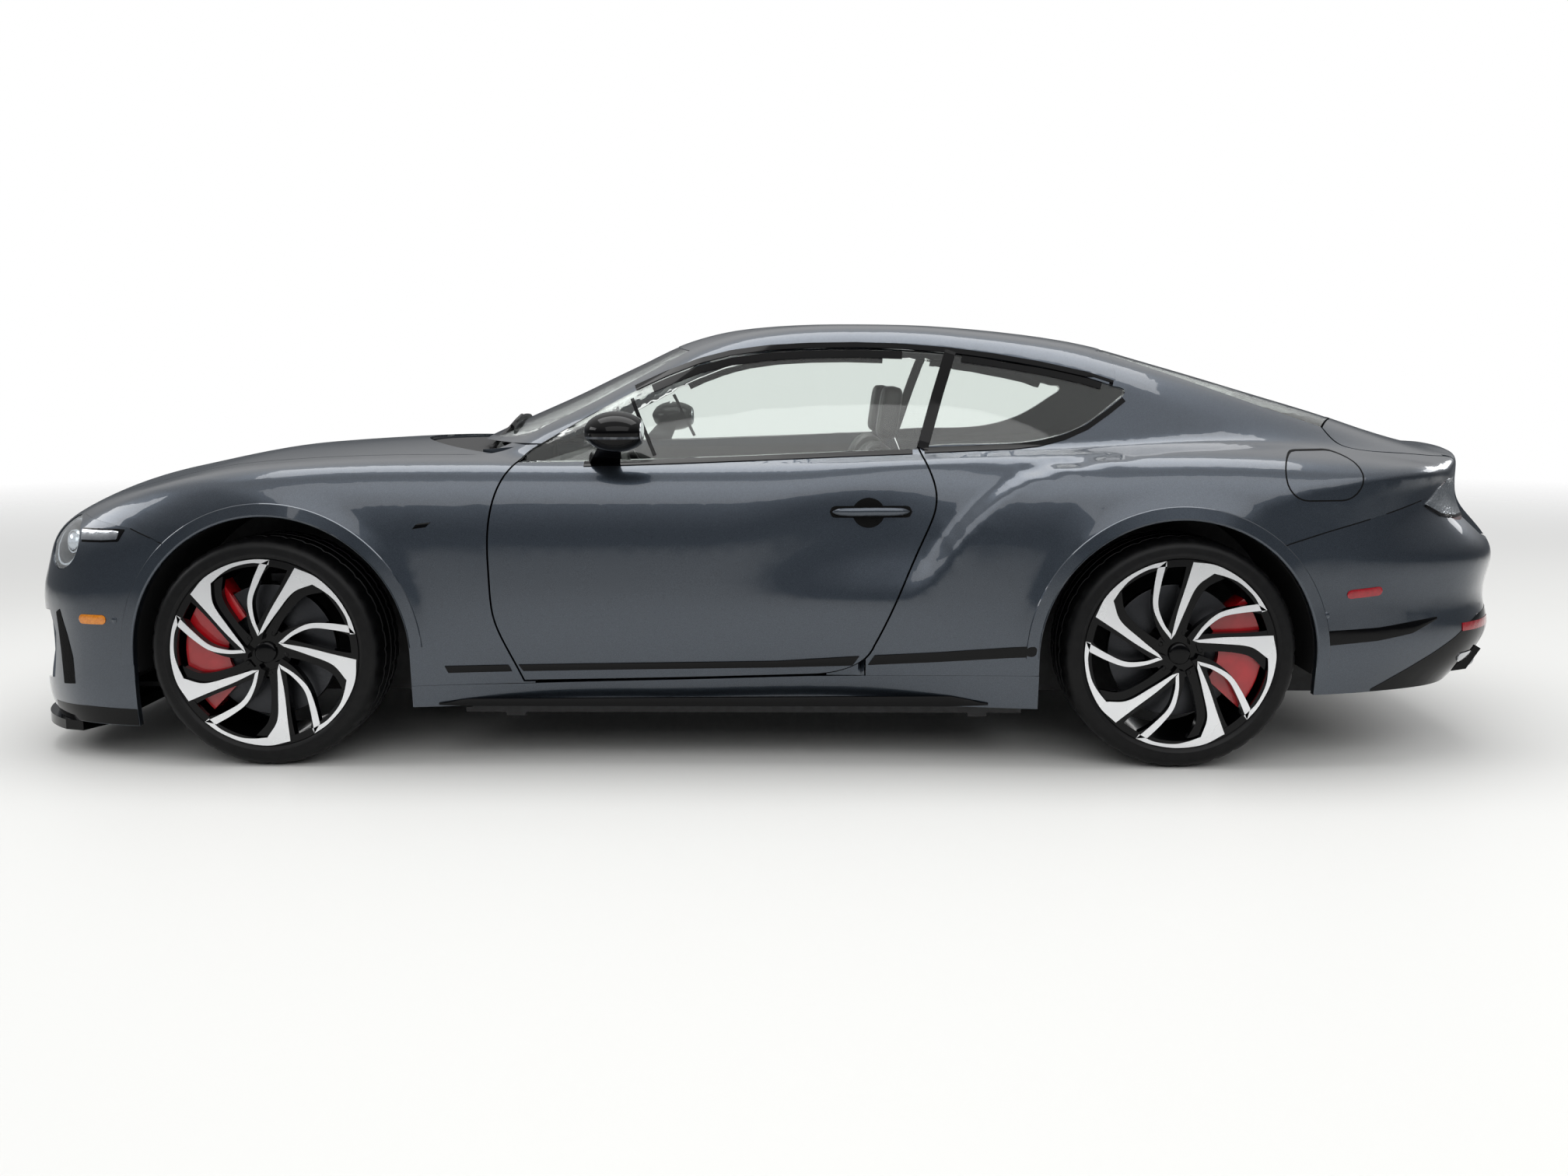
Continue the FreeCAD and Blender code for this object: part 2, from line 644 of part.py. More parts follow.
# The bonnet's rear edge stands back a little more, most at its corners, because it moves aft and
# down as the bonnet opens
BONNET_ROOM = 5.0
CORNER_ROOM = 12.0
BONNET_EDGE = [(x - BONNET_ROOM - CORNER_ROOM * ramp(y, 600, 660), y) for x, y in BONNET_REAR]
BONNET_PANEL = [BONNET_EDGE, [BONNET_EDGE[-1]] + BONNET_SIDE[1:], BONNET_FRONT]
bonnet = bonnet_skin.common(vertical(BONNET_PANEL, SHUT_GAP))
DOWN = Vec(0, 0, -1)
CROSS = Vec(0, 1, 0)
bonnet_pivots = [place(BONNET_PIVOT[0], side * BONNET_PIVOT[1], BONNET_PIVOT[2]) for side in (-1, 1)]
for pivot in bonnet_pivots:
    bonnet = hinged(bonnet, pivot, CROSS, DOWN, BONNET_LUG, -BONNET_TRAVEL)
add_part("bonnet", keep_solids(bonnet))

# Wings
wing_skin = skin_patch(whole_body, side_ray, spread(-1080, 840, 40), spread(-46, 46, 2.6), SKIN)
wing_zone = prism_of(drawn_wire([NOSE_SEAM, LAMP_SEAM, [(-740, 800), (-740, 1200)],
                                 [(-740, 1200), (850, 1200)], [(850, 1200), (850, 262)],
                                 [(850, 262), (452, 258)], [(452, 258), (-240, 258)],
                                 [(-240, 258), (-240, 672)]]))
screen_gap = vertical(SCREEN_OUTLINE)
wing = wing_skin.common(wing_zone).cut(Part.makeCompound([door_hole, bonnet_hole, FRONT_OPENING, screen_gap,
                                                window_hole] + lamp_holes))
wing = wing.cut(drawn_box(-900, 1000, -560, 0, 0, 1500))
wing = wing.cut(drawn_box(600, 1000, -1200, 0, ROOF_LEDGE - FIT, 1500))
wing = keep_solids(wing.cut(vertical(COWL_OUTLINE)))
add_part("wings", both_sides(wing))

# Doors and their glass
door_skin = skin_patch(whole_body, side_ray, spread(660, 2140, 40), spread(-44, 36, 2.6),
                       size("door_thickness"))
door = door_skin.common(door_tool)
# Near the belt the door's inner side stops at these half widths, clear of the quarters as it swings
DOOR_INNER = 780.0
DOOR_TAIL_INNER = 812.0
DOOR_TAIL = 1960.0
door = door.cut(drawn_box(600, 2200, -DOOR_INNER, 0, 100, 1100))
door = door.cut(drawn_box(DOOR_TAIL, 2200, -DOOR_TAIL_INNER, 0, 100, 1100))
INWARD = Vec(0, 1, 0)
door_pivots = [place(*DOOR_PIVOT, height) for height in DOOR_HINGES]
door_lug = across(-POST_SIDE - DOOR_PIVOT[1])
for pivot in door_pivots:
    door = hinged(door, pivot, Vec(0, 0, 1), INWARD, door_lug, DOOR_TRAVEL)
door = keep_solids(door)
add_part("door_l", door)
add_part("door_r", mirrored(door))
glass_skin = skin_patch(cabin, over_ray, spread(760, 2780, 45), spread(-86, -18, 3), size("glass"),
                        sink=3.0)
GLASS_DROP = 2 * SHUT_GAP - 2 * FIT
GLASS_FOOT = [(x, z - GLASS_DROP) for x, z in BELT_LINE]
glass_runs = [GLASS_FOOT, [GLASS_FOOT[-1], BELT_LINE[-1]], WINDOW_FRONT, WINDOW_TOP[:12],
              [WINDOW_TOP[11], BELT_LINE[0]], [BELT_LINE[0], GLASS_FOOT[0]]]
door_glass = keep_solids(glass_skin.common(prism_of(drawn_wire(inset(glass_runs, SHUT_GAP)))))
add_part("door_glass_l", door_glass)
add_part("door_glass_r", mirrored(door_glass))
quarter_runs = [WINDOW_TOP[11:], WINDOW_TIP, WINDOW_HEEL, [WINDOW_HEEL[-1], WINDOW_TOP[11]]]
quarter_glass = keep_solids(glass_skin.common(prism_of(drawn_wire(inset(quarter_runs, SEAM)))))
add_part("quarter_glass", both_sides(quarter_glass))

# Roof with the screen pillars
ROOF_END = 2690.0
roof_skin = skin_patch(whole_body, over_ray, spread(600, 2780, 45), spread(-84, 84, 4),
                       size("roof_thickness"))
ROOF_FOOT = [(ROOF_END, 1450), (ROOF_END, 1178), (2650, 1150), (2100, ROOF_LEDGE)]
roof_runs = [[ROOF_FOOT[i], ROOF_FOOT[i + 1]] for i in range(3)]
roof_runs += [[(2100, ROOF_LEDGE), (600, ROOF_LEDGE)], [(600, ROOF_LEDGE), (600, 1450)]]
roof_runs += [[(600, 1450), (ROOF_END, 1450)]]
roof_zone = wire_through(roof_runs, lambda p: place(p[0], -1200, p[1]))
roof_zone = Part.Face(roof_zone).extrude(Vec(0, across(2400), 0))
roof = roof_skin.common(roof_zone).cut(Part.makeCompound([screen_gap, vertical(REAR_OUTLINE), window_hole,
                                                mirrored(window_hole)]))
add_part("roof", keep_solids(roof, 1e6))

# Screens
screen_skin = skin_patch(cabin, over_ray, spread(520, 1400, 40), spread(-84, 84, 4), size("glass"),
                         sink=2.0)
add_part("windscreen", keep_solids(screen_skin.common(vertical(SCREEN_OUTLINE, SEAM))))
rear_skin = skin_patch(cabin, over_ray, spread(2560, 3560, 40), spread(-76, 76, 4), size("glass"),
                       sink=2.0)
add_part("rear_screen", keep_solids(rear_skin.common(vertical(REAR_OUTLINE, SEAM))))

# Boot lid
lid_skin = skin_patch(whole_body, lid_ray, spread(-760, 760, 38), spread(8, 92, 2.4),
                      size("lid_thickness"))
lid_inner = vertical(LID_OUTLINE, SHUT_GAP)
lid_box = box(-3000, 3000, -1200, 1200, up(LID_FOOT) + SHUT_GAP, 2000)
tail_holes = [tail_hole, mirrored(tail_hole)]
boot_lid = lid_skin.common(lid_inner).common(lid_box).cut(Part.makeCompound(tail_holes))
# The lid's rear corners are trimmed, because they pass the quarters as it opens
LID_CORNER = 596.0
for side in (-1, 1):
    near, far = sorted((side * LID_CORNER, side * 700))
    boot_lid = boot_lid.cut(drawn_box(3765, 3860, near, far, 780, 1000))
boot_pivots = [place(BOOT_PIVOT[0], side * BOOT_PIVOT[1], BOOT_PIVOT[2]) for side in (-1, 1)]


def gooseneck(pivot, side):
    """Bent arm beside its lug, with the pin that turns in it."""
    way = [pivot + Vec(x, 0, z) for x, z in GOOSENECK]
    pieces = [hinge_pin(pivot, CROSS, HINGE_PIN)]
    inner = -side * GOOSENECK_IN - GOOSENECK_THICK / 2
    for start, end in zip(way, way[1:]):
        heading = (end - start).normalize()
        out = Vec(-heading.z, 0, heading.x) * LUG_HALF
        corners = [start + out, start - out, end - out, end + out]
        corners = [c + Vec(0, inner, 0) for c in corners]
        pieces.append(Part.Face(Part.makePolygon(corners + corners[:1])).extrude(CROSS * GOOSENECK_THICK))
        pieces.append(Part.makeCylinder(LUG_HALF, GOOSENECK_THICK, start + Vec(0, inner, 0), CROSS))
    return pieces


for pivot, side in zip(boot_pivots, (-1, 1)):
    boot_lid = boot_lid.fuse(gooseneck(pivot, side))
add_part("boot_lid", keep_solids(boot_lid))

# Quarters with the rear pillars
quarter_skin = skin_patch(whole_body, side_ray, spread(1880, 3960, 38), spread(-46, 74, 2.4), SKIN)
SILL_LEDGE = [(3090, 296), (2425, 296), (1700, 284)]
quarter_border = [(3090, 655)] + SILL_LEDGE + [(1700, 940), (2040, ROOF_LEDGE)] + ROOF_FOOT[::-1]
quarter_border += [(4000, 1450), (4000, 833), (3620, 833)]
quarter_runs = [[p, q] for p, q in zip(quarter_border, quarter_border[1:])]
quarter_zone = prism_of(drawn_wire(inset([list(reversed(TAIL_SEAM))] + quarter_runs, SEAM / 2)))
rear_gap = vertical(REAR_OUTLINE)
quarter = quarter_skin.common(quarter_zone)
quarter_holes = [door_hole, window_hole, REAR_OPENING, rear_gap, lid_hole, tail_hole]
quarter = keep_solids(quarter.cut(Part.makeCompound(quarter_holes)), 100000.0)
add_part("quarters", both_sides(quarter))

# Front bumper with its grille and side intakes


def nose_prism(points):
    """Prism through the nose from an outline seen from the front: (half width, height)."""
    lift = [place(-1100, y, z) for y, z in points]
    face = Part.Face(Part.makePolygon(lift + lift[:1]))
    return face.extrude(Vec(700, 0, 0))


GRILLE_OPENING = [(-335, 640), (-300, 690), (300, 690), (335, 640), (310, 400), (275, 372),
                  (-275, 372), (-310, 400)]
LOWER_INTAKE = [(-430, 300), (430, 300), (470, 190), (-470, 190)]
SIDE_INTAKE = [(-560, 455), (-770, 470), (-800, 400), (-780, 250), (-590, 220), (-545, 300)]
right_intake = [(-y, z) for y, z in reversed(SIDE_INTAKE)]
intakes = [nose_prism(shape) for shape in (GRILLE_OPENING, LOWER_INTAKE, SIDE_INTAKE, right_intake)]
bumper_skin = skin_patch(whole_body, side_ray, spread(-2170, -230, 40), spread(-50, 46, 2.6), SKIN)
NOSE_BOTTOM = 120.0
nose_border = [(-240, 672), (-240, NOSE_BOTTOM), (-1000, NOSE_BOTTOM), (-1000, 800), (-740, 800)]
nose_runs = [list(reversed(NOSE_SEAM))] + [[p, q] for p, q in zip(nose_border, nose_border[1:])]
nose_zone = prism_of(drawn_wire(inset(nose_runs + [list(reversed(LAMP_SEAM))], SEAM)), 900.0)
nose_zone = nose_zone.fuse(mirrored(nose_zone)).fuse(drawn_box(-1000, -560, -400, 400, NOSE_BOTTOM, 900))
bumper = bumper_skin.common(nose_zone)
TOW_EYE = (-815, 430, 350)
ACCESS_RADIUS = 36.0
tow_access = Part.makeCylinder(ACCESS_RADIUS, 400, place(-1100, *TOW_EYE[1:]), Vec(1, 0, 0))
openings = [bonnet_hole, FRONT_OPENING, mirrored(FRONT_OPENING)] + lamp_holes
openings += [mirrored(hole) for hole in lamp_holes]
bumper = bumper.cut(Part.makeCompound(openings + intakes + [tow_access]))
bumper = keep_solids(bumper, 50000.0)
add_part("front_bumper", bumper)

# Rear bumper
rear_bumper_skin = skin_patch(whole_body, side_ray, spread(3060, 5340, 40), spread(-46, 30, 2.6),
                              SKIN)
tail_border = [(3620, 833), (3720, 833), (3900, LID_FOOT), (4100, LID_FOOT), (4100, 230), (3090, 230),
               (3090, 655)]
tail_runs = [TAIL_SEAM] + [[p, q] for p, q in zip(tail_border, tail_border[1:])]
tail_zone = prism_of(drawn_wire(inset(tail_runs, SEAM / 2)), 900.0)
tail_zone = tail_zone.fuse(mirrored(tail_zone)).fuse(drawn_box(3500, 4100, -400, 400, 230, LID_FOOT))
rear_bumper = rear_bumper_skin.common(tail_zone)
rear_openings = [REAR_OPENING, mirrored(REAR_OPENING), lid_hole] + tail_holes
rear_bumper = rear_bumper.cut(Part.makeCompound(rear_openings))


# Grille: upright vanes in a rim that lies behind the bumper round each opening
VANE = 5.0
VANE_SPACING = 27.0
VANE_DEPTH = 12.0
VANE_LAP = 5.0
RIM_WIDTH = 10.0
RIM_DEPTH = 30.0
rim_skin = skin_patch(whole_body, side_ray, spread(-2170, -230, 40), spread(-50, 46, 2.6), RIM_DEPTH,
                      sink=SKIN + 2 * FIT)


def nose_station(half, height):
    start = Vec(-300, half, height)
    return -300 - reach_skin(whole_body, start, Vec(-1, 0, 0), 0.0, 700.0)


def heights_at(points, y):
    """Lowest and highest point of an outline at a distance from the centre plane."""
    found = []
    for (y0, z0), (y1, z1) in zip(points, points[1:] + points[:1]):
        if (y0 - y) * (y1 - y) < 0:
            found.append(z0 + (z1 - z0) * (y - y0) / (y1 - y0))
    return min(found), max(found)


def vane(y, low, high, depth_in):
    """Upright vane that follows the nose at a depth behind its skin."""
    steps = [low + (high - low) * i / 4 for i in range(5)]
    front = [(nose_station(abs(y), z) + depth_in, z) for z in steps]
    back = [(x + VANE_DEPTH, z) for x, z in reversed(front)]
    corners = [place(x, y, z) - Vec(0, VANE / 2, 0) for x, z in front + back]
    return Part.Face(Part.makePolygon(corners + corners[:1])).extrude(Vec(0, VANE, 0))


def grille_piece(points, depth_in):
    lift = [place(-1100, y, z) for y, z in points]
    wire = Part.makePolygon(lift + lift[:1])
    ring = Part.Face(wire.makeOffset2D(RIM_WIDTH)).cut(Part.Face(wire)).extrude(Vec(700, 0, 0))
    rim = rim_skin.common(ring)
    left = min(y for y, _ in points)
    right = max(y for y, _ in points)
    count = int((right - left) / VANE_SPACING)
    first = (left + right) / 2 - (count - 1) / 2 * VANE_SPACING
    blades = []
    for i in range(count):
        y = first + i * VANE_SPACING
        low, high = heights_at(points, y)
        blades.append(vane(y, low - VANE_LAP, high + VANE_LAP, depth_in))
    return keep_solids(rim.fuse(blades), 20000.0)


FRONT_DEPTH = 42.0
CORNER_DEPTH = 60.0
grille_solids = []
for outline, depth_in in ((GRILLE_OPENING, FRONT_DEPTH), (LOWER_INTAKE, FRONT_DEPTH),
                          (SIDE_INTAKE, CORNER_DEPTH), (right_intake, CORNER_DEPTH)):
    grille_solids += grille_piece(outline, depth_in).Solids
add_part("grille", Part.makeCompound(grille_solids))

# Lamps fill their openings
lamp_skin = skin_patch(whole_body, side_ray, spread(-1150, -400, 30), spread(-22, 24, 2.3), 60.0,
                       sink=3.0)
lamps = []
for centre, facing, half_long, half_high in HEAD_LAMPS:
    lamp = lamp_skin.common(oval_prism(centre, facing, half_long, half_high))
    lamps += [solid for solid in lamp.Solids if solid.Volume > 50000]
add_part("headlamps", both_sides(Part.makeCompound(lamps)))
tail_skin = skin_patch(whole_body, side_ray, spread(3300, 4200, 30), spread(-10, 26, 2.3), 45.0,
                       sink=2.0)
tail_lamp = tail_skin.common(oval_prism(*TAIL_LAMP))
add_part("tail_lamps", both_sides(keep_solids(tail_lamp, 50000.0)))

# Sills
sill_skin = skin_patch(whole_body, side_ray, spread(430, 2450, 60), spread(-46, -24, 2.2), SKIN + 10)
SILL_BORDER = [(804, 260), (1300, 272), (1700, 284), (2425, 296), (2425, 188), (452, 188), (452, 258)]
sill_runs = [[p, q] for p, q in zip(SILL_BORDER, SILL_BORDER[1:] + SILL_BORDER[:1])]
sill_zone = prism_of(drawn_wire(inset(sill_runs, SEAM)), 900.0)
sill = sill_skin.common(sill_zone).cut(Part.makeCompound([FRONT_OPENING, REAR_OPENING, door_hole]))
sill = keep_solids(sill)
add_part("sills", both_sides(sill))

# Splitter and diffuser
nose_points = [(nose_line(y) - 6, y) for y in (0, 150, 300, 420, 500, 580, 650, 700, 750, 790, 830)]
splitter_outline = [[(-600, 0), (-600, 760)], [(-600, 760), (-640, 850)],
                    [(-640, 850), (nose_points[-1][0], 830)], list(reversed(nose_points))]
SPLITTER_LOW = 88.0
add_part("splitter", vertical(splitter_outline, 0.0, SPLITTER_LOW, NOSE_BOTTOM - SPLITTER_LOW))

# Cowl between bonnet and windscreen
cowl_skin = skin_patch(lower_body, up_ray, spread(300, 840, 40), spread(-745, 745, 40), 12.0, sink=14.0)
cowl = cowl_skin.common(vertical(COWL_OUTLINE, SEAM))
add_part("cowl", keep_solids(cowl, 100000.0))

# Diffuser and exhaust tips
DIFFUSER_HALF = 660.0
DIFFUSER_TOP = 345.0
DIFFUSER_SIDE = [(3480, 205), (3860, 262), (3905, 330), (3880, DIFFUSER_TOP), (3480, 240)]
FIN_SIDE = [(3560, 214), (3870, 200), (3890, 275), (3860, 262), (3560, 222)]
FIN_HALF = 4.0


def cross_plate(points, middle, half):
    """Plate with an outline seen from the side, across the car about a middle."""
    face = Part.Face(Part.makePolygon([place(x, middle - half, z) for x, z in points + points[:1]]))
    return face.extrude(Vec(0, across(2 * half), 0))


fins = [cross_plate(FIN_SIDE, middle, FIN_HALF) for middle in (-420, -210, 0, 210, 420)]
diffuser = cross_plate(DIFFUSER_SIDE, 0, DIFFUSER_HALF).fuse(fins)
TIP = ((3860, -560, 300), 88.0, 42.0, 4.0, 170.0)
tip_centre, tip_long, tip_high, tip_wall, tip_length = TIP


def tip_oval(shrink, length, back):
    edge = Part.Ellipse(Vec(0, 0, 0), tip_long - shrink, tip_high - shrink).toShape()
    oval = Part.Face(Part.Wire([edge]))
    turn = FreeCAD.Rotation(Vec(0, 1, 0), Vec(0, 0, 1), Vec(1, 0, 0), "ZXY")
    oval.Placement = FreeCAD.Placement(place(*tip_centre) - Vec(back, 0, 0), turn)
    return oval.extrude(Vec(length, 0, 0))


tip_hole = tip_oval(-2 * FIT, 400, 200)
diffuser = diffuser.cut(Part.makeCompound([tip_hole, mirrored(tip_hole)]))
add_part("diffuser", keep_solids(diffuser))
tip = tip_oval(0.0, tip_length, tip_length - 30).cut(tip_oval(tip_wall, tip_length - 20, tip_length - 50))
add_part("exhaust_tips", both_sides(tip))
diffuser_room = box(along(3400), along(4100), -across(DIFFUSER_HALF) - FIT, across(DIFFUSER_HALF) + FIT,
                    up(150), up(DIFFUSER_TOP) + FIT)
rear_bumper = rear_bumper.cut(Part.makeCompound([tip_hole, mirrored(tip_hole), diffuser_room]))
rear_bumper = keep_solids(rear_bumper, 50000.0)
add_part("rear_bumper", rear_bumper)


# Running gear: one set of values for each corner
CORNERS = {
    "fl": (FRONT_AXLE_X, -1, size("front_track"), size("front_tyre_width")),
    "fr": (FRONT_AXLE_X, 1, size("front_track"), size("front_tyre_width")),
    "rl": (REAR_AXLE_X, -1, size("rear_track"), size("rear_tyre_width")),
    "rr": (REAR_AXLE_X, 1, size("rear_track"), size("rear_tyre_width")),
}
RIM_FACE_INSET = 8.0
SPOKE_DEPTH = 34.0
BEAD_RADIUS = size("rim_radius") - 10
BARREL_INNER = BEAD_RADIUS - size("barrel_wall")
HUB_RADIUS = 78.0
SPINDLE_RADIUS = 36.0
BEARING_GAP = 0.5
KINGPIN_OFFSET = 60.0
BALL_PIN_RADIUS = 12.0
DISC_OUT = 62.0


def wheel_place(corner):
    x, side, track, width = CORNERS[corner]
    return Vec(x, side * track / 2, TYRE_RADIUS), side, width


def axle_ring(outer, inner, start, end):
    """Ring round +Y from start to end, for a left-hand wheel with outboard at +Y."""
    ring = Part.makeCylinder(outer, end - start, Vec(0, start, 0), Vec(0, 1, 0))
    if inner > 0:
        ring = ring.cut(Part.makeCylinder(inner, end - start + 2, Vec(0, start - 1, 0), Vec(0, 1, 0)))
    return ring


def polar(radius, degrees):
    """Point on the wheel's face, degrees counter-clockwise seen from outside on the left."""
    angle = math.radians(degrees)
    return Vec(radius * math.cos(angle), 0, radius * math.sin(angle))


def arm(centre_line, widths, front, depth):
    """Spoke arm: a smooth strip along (radius, degrees) points with a width at each."""
    spine = [polar(r, a) for r, a in centre_line]
    left, right = [], []
    for i, point in enumerate(spine):
        before = spine[max(i - 1, 0)]
        after = spine[min(i + 1, len(spine) - 1)]
        heading = (after - before).normalize()
        normal = Vec(-heading.z, 0, heading.x)
        left.append(point + normal * (widths[i] / 2))
        right.append(point - normal * (widths[i] / 2))
    edges = []
    for side in (left, right):
        curve = Part.BSplineCurve()
        curve.interpolate(side)
        edges.append(curve.toShape())
    edges.append(Part.LineSegment(left[0], right[0]).toShape())
    edges.append(Part.LineSegment(left[-1], right[-1]).toShape())
    face = Part.Face(Part.Wire(Part.__sortEdges__(edges)))
    face.translate(Vec(0, front - depth, 0))
    return face.extrude(Vec(0, depth, 0))


def wheel_shape(width, first_angle):
    """Rim, spokes, hub and brake disc, with the axle on Y and outboard at +Y."""
    rim = size("rim_radius")
    face = width / 2 - RIM_FACE_INSET
    barrel = axle_ring(rim, BARREL_INNER, face - 12, face)
    barrel = barrel.fuse(axle_ring(BEAD_RADIUS, BARREL_INNER, -width / 2 + 20, face - 12))
    barrel = barrel.fuse(axle_ring(rim, BARREL_INNER, -width / 2 + 10, -width / 2 + 20))
    pieces = [axle_ring(HUB_RADIUS, 0, DISC_OUT, face - 22), axle_ring(SPINDLE_RADIUS, 0, -70, DISC_OUT),
              axle_ring(size("disc_radius"), 60, DISC_OUT - size("disc_thickness"), DISC_OUT)]
    reach = BARREL_INNER + 4
    for k in range(5):
        tip = first_angle + 72 * k
        pieces.append(arm([(52, tip + 45), (130, tip + 13), (200, tip + 4), (reach, tip)],
                          [30, 22, 26, 40], face - 2, SPOKE_DEPTH))
        pieces.append(arm([(52, tip + 45), (155, tip + 37), (215, tip + 28), (reach, tip + 17)],
                          [26, 16, 15, 15], face - 2, SPOKE_DEPTH))
    wheel = barrel.fuse(pieces)
    return wheel.removeSplitter()


def mounted(shape, corner):
    """A corner piece drawn for outboard at +Y, put at its corner."""
    centre, side, _ = wheel_place(corner)
    if side < 0:
        shape = mirrored(shape)
    copy = shape.copy()
    copy.translate(centre)
    return copy


FIRST_ANGLE = {"fl": 68, "rl": 84, "fr": 68, "rr": 84}
wheel_shapes = {}
for corner in ("fl", "rl"):
    wheel_shapes[corner] = wheel_shape(wheel_place(corner)[2], FIRST_ANGLE[corner])
wheel_shapes["fr"] = wheel_shapes["fl"]
wheel_shapes["rr"] = wheel_shapes["rl"]

for corner in CORNERS:
    centre, side, width = wheel_place(corner)
    add_part("wheel_" + corner, mounted(wheel_shapes[corner], corner))
    axle = "front" if corner[0] == "f" else "rear"
    tread = doc.addObject("Part::Cylinder", "tread_" + corner)
    tread.setExpression("Radius", "Sizes.tyre_radius")
    tread.setExpression("Height", "Sizes.%s_tyre_width" % axle)
    bore = doc.addObject("Part::Cylinder", "bore_" + corner)
    bore.setExpression("Radius", "Sizes.rim_radius + 0.3")
    bore.setExpression("Height", "Sizes.%s_tyre_width + 20" % axle)
    bore.Placement.Base = Vec(0, 0, -10)
    doc.recompute()
    shoulder = doc.addObject("Part::Chamfer", "shoulder_" + corner)
    shoulder.Base = tread
    rims = [i + 1 for i, e in enumerate(tread.Shape.Edges) if e.Closed]
    shoulder.Edges = [(i, 26.0, 14.0) for i in rims]
    tyre = doc.addObject("Part::Cut", "tyre_" + corner)
    tyre.Base = shoulder
    tyre.Tool = bore
    tyre.Placement = FreeCAD.Placement(centre + Vec(0, -width / 2, 0),
                                       FreeCAD.Rotation(Vec(1, 0, 0), -90))
    keep(tyre, "tyre_" + corner)

# Brake calipers: sectors that straddle the discs
CALIPER_WALL = 26.0
CALIPER_BACK = DISC_OUT - size("disc_thickness") - size("caliper_gap") - CALIPER_WALL


def caliper_shape(start, end, face):
    front = face - 2 - SPOKE_DEPTH - size("caliper_gap") - 2
    sector_outer, sector_inner = BARREL_INNER - 12, 128.0
    profile = Part.makePolygon([Vec(sector_inner, CALIPER_BACK, 0), Vec(sector_outer, CALIPER_BACK, 0),
                                Vec(sector_outer, front, 0), Vec(sector_inner, front, 0),
                                Vec(sector_inner, CALIPER_BACK, 0)])
    block = Part.Face(profile).revolve(Vec(0, 0, 0), Vec(0, -1, 0), end - start)
    block.rotate(Vec(0, 0, 0), Vec(0, -1, 0), start)
    gap = size("caliper_gap")
    slot = axle_ring(size("disc_radius") + gap, 0, DISC_OUT - size("disc_thickness") - gap,
                     DISC_OUT + gap)
    return block.cut(slot)


def knuckle_shape():
    """Hub carrier with the boss of its ball joints, outboard at +Y."""
    carrier = axle_ring(62, SPINDLE_RADIUS + BEARING_GAP, -75, 14)
    upright = Part.makeBox(90, 40, 330, Vec(-45, -80, -150))
    upright = upright.fuse(Part.makeBox(190, 30, 60, Vec(-20, -80, -30)))
    bracket = Part.makeBox(150, CALIPER_BACK - FIT + 52, 90, Vec(-190, -52, -45))
    shape = carrier.fuse([upright, bracket])
    shape = shape.cut(Part.makeCylinder(SPINDLE_RADIUS + BEARING_GAP, 200, Vec(0, -100, 0), Vec(0, 1, 0)))
    return shape.cut(Part.makeCylinder(BALL_PIN_RADIUS + BEARING_GAP, 600, Vec(0, -KINGPIN_OFFSET, -300)))


for corner in ("fl", "fr"):
    add_part("knuckle_" + corner, mounted(knuckle_shape(), corner))
    face = wheel_place(corner)[2] / 2 - RIM_FACE_INSET
    add_part("caliper_" + corner, mounted(caliper_shape(122, 226, face), corner))
rear_face = size("rear_tyre_width") / 2 - RIM_FACE_INSET
rear_caliper = mounted(caliper_shape(-42, 40, rear_face), "rl")
add_part("rear_calipers", both_sides(rear_caliper))

CLEARANCE = size("ground_clearance")
FLOOR_PLATE = 16.0
FLOOR_TOP = CLEARANCE + FLOOR_PLATE

# Front axle: crossmember and arms that end in the ball pins
ARM_TALL = 24.0
LOWER_ARM = TYRE_RADIUS - 194
UPPER_ARM = TYRE_RADIUS + 205
front_y = size("front_track") / 2 - KINGPIN_OFFSET
front_solids = [box(FRONT_AXLE_X - 60, FRONT_AXLE_X + 60, -430, 430, 205, 275)]
for side in (-1, 1):
    for height, tall in ((LOWER_ARM, ARM_TALL), (UPPER_ARM, ARM_TALL)):
        inner = side * 380
        outer = side * front_y
        y0, y1 = min(inner, outer), max(inner, outer)
        front_solids.append(box(FRONT_AXLE_X - 28, FRONT_AXLE_X + 28, y0 - 14, y1 + 14,
                                height, height + tall))
    pin_x, pin_y = FRONT_AXLE_X, side * front_y
    front_solids.append(Part.makeCylinder(BALL_PIN_RADIUS, 60, Vec(pin_x, pin_y, TYRE_RADIUS - 176)))
    front_solids.append(Part.makeCylinder(BALL_PIN_RADIUS, 60, Vec(pin_x, pin_y, TYRE_RADIUS + 147)))
    front_solids.append(box(FRONT_AXLE_X - 40, FRONT_AXLE_X + 40, side * 405 - 25, side * 405 + 25,
                            FLOOR_TOP + FIT, TYRE_RADIUS + 240))
front_axle = front_solids[0].fuse(front_solids[1:])
add_part("front_axle", keep_solids(front_axle))

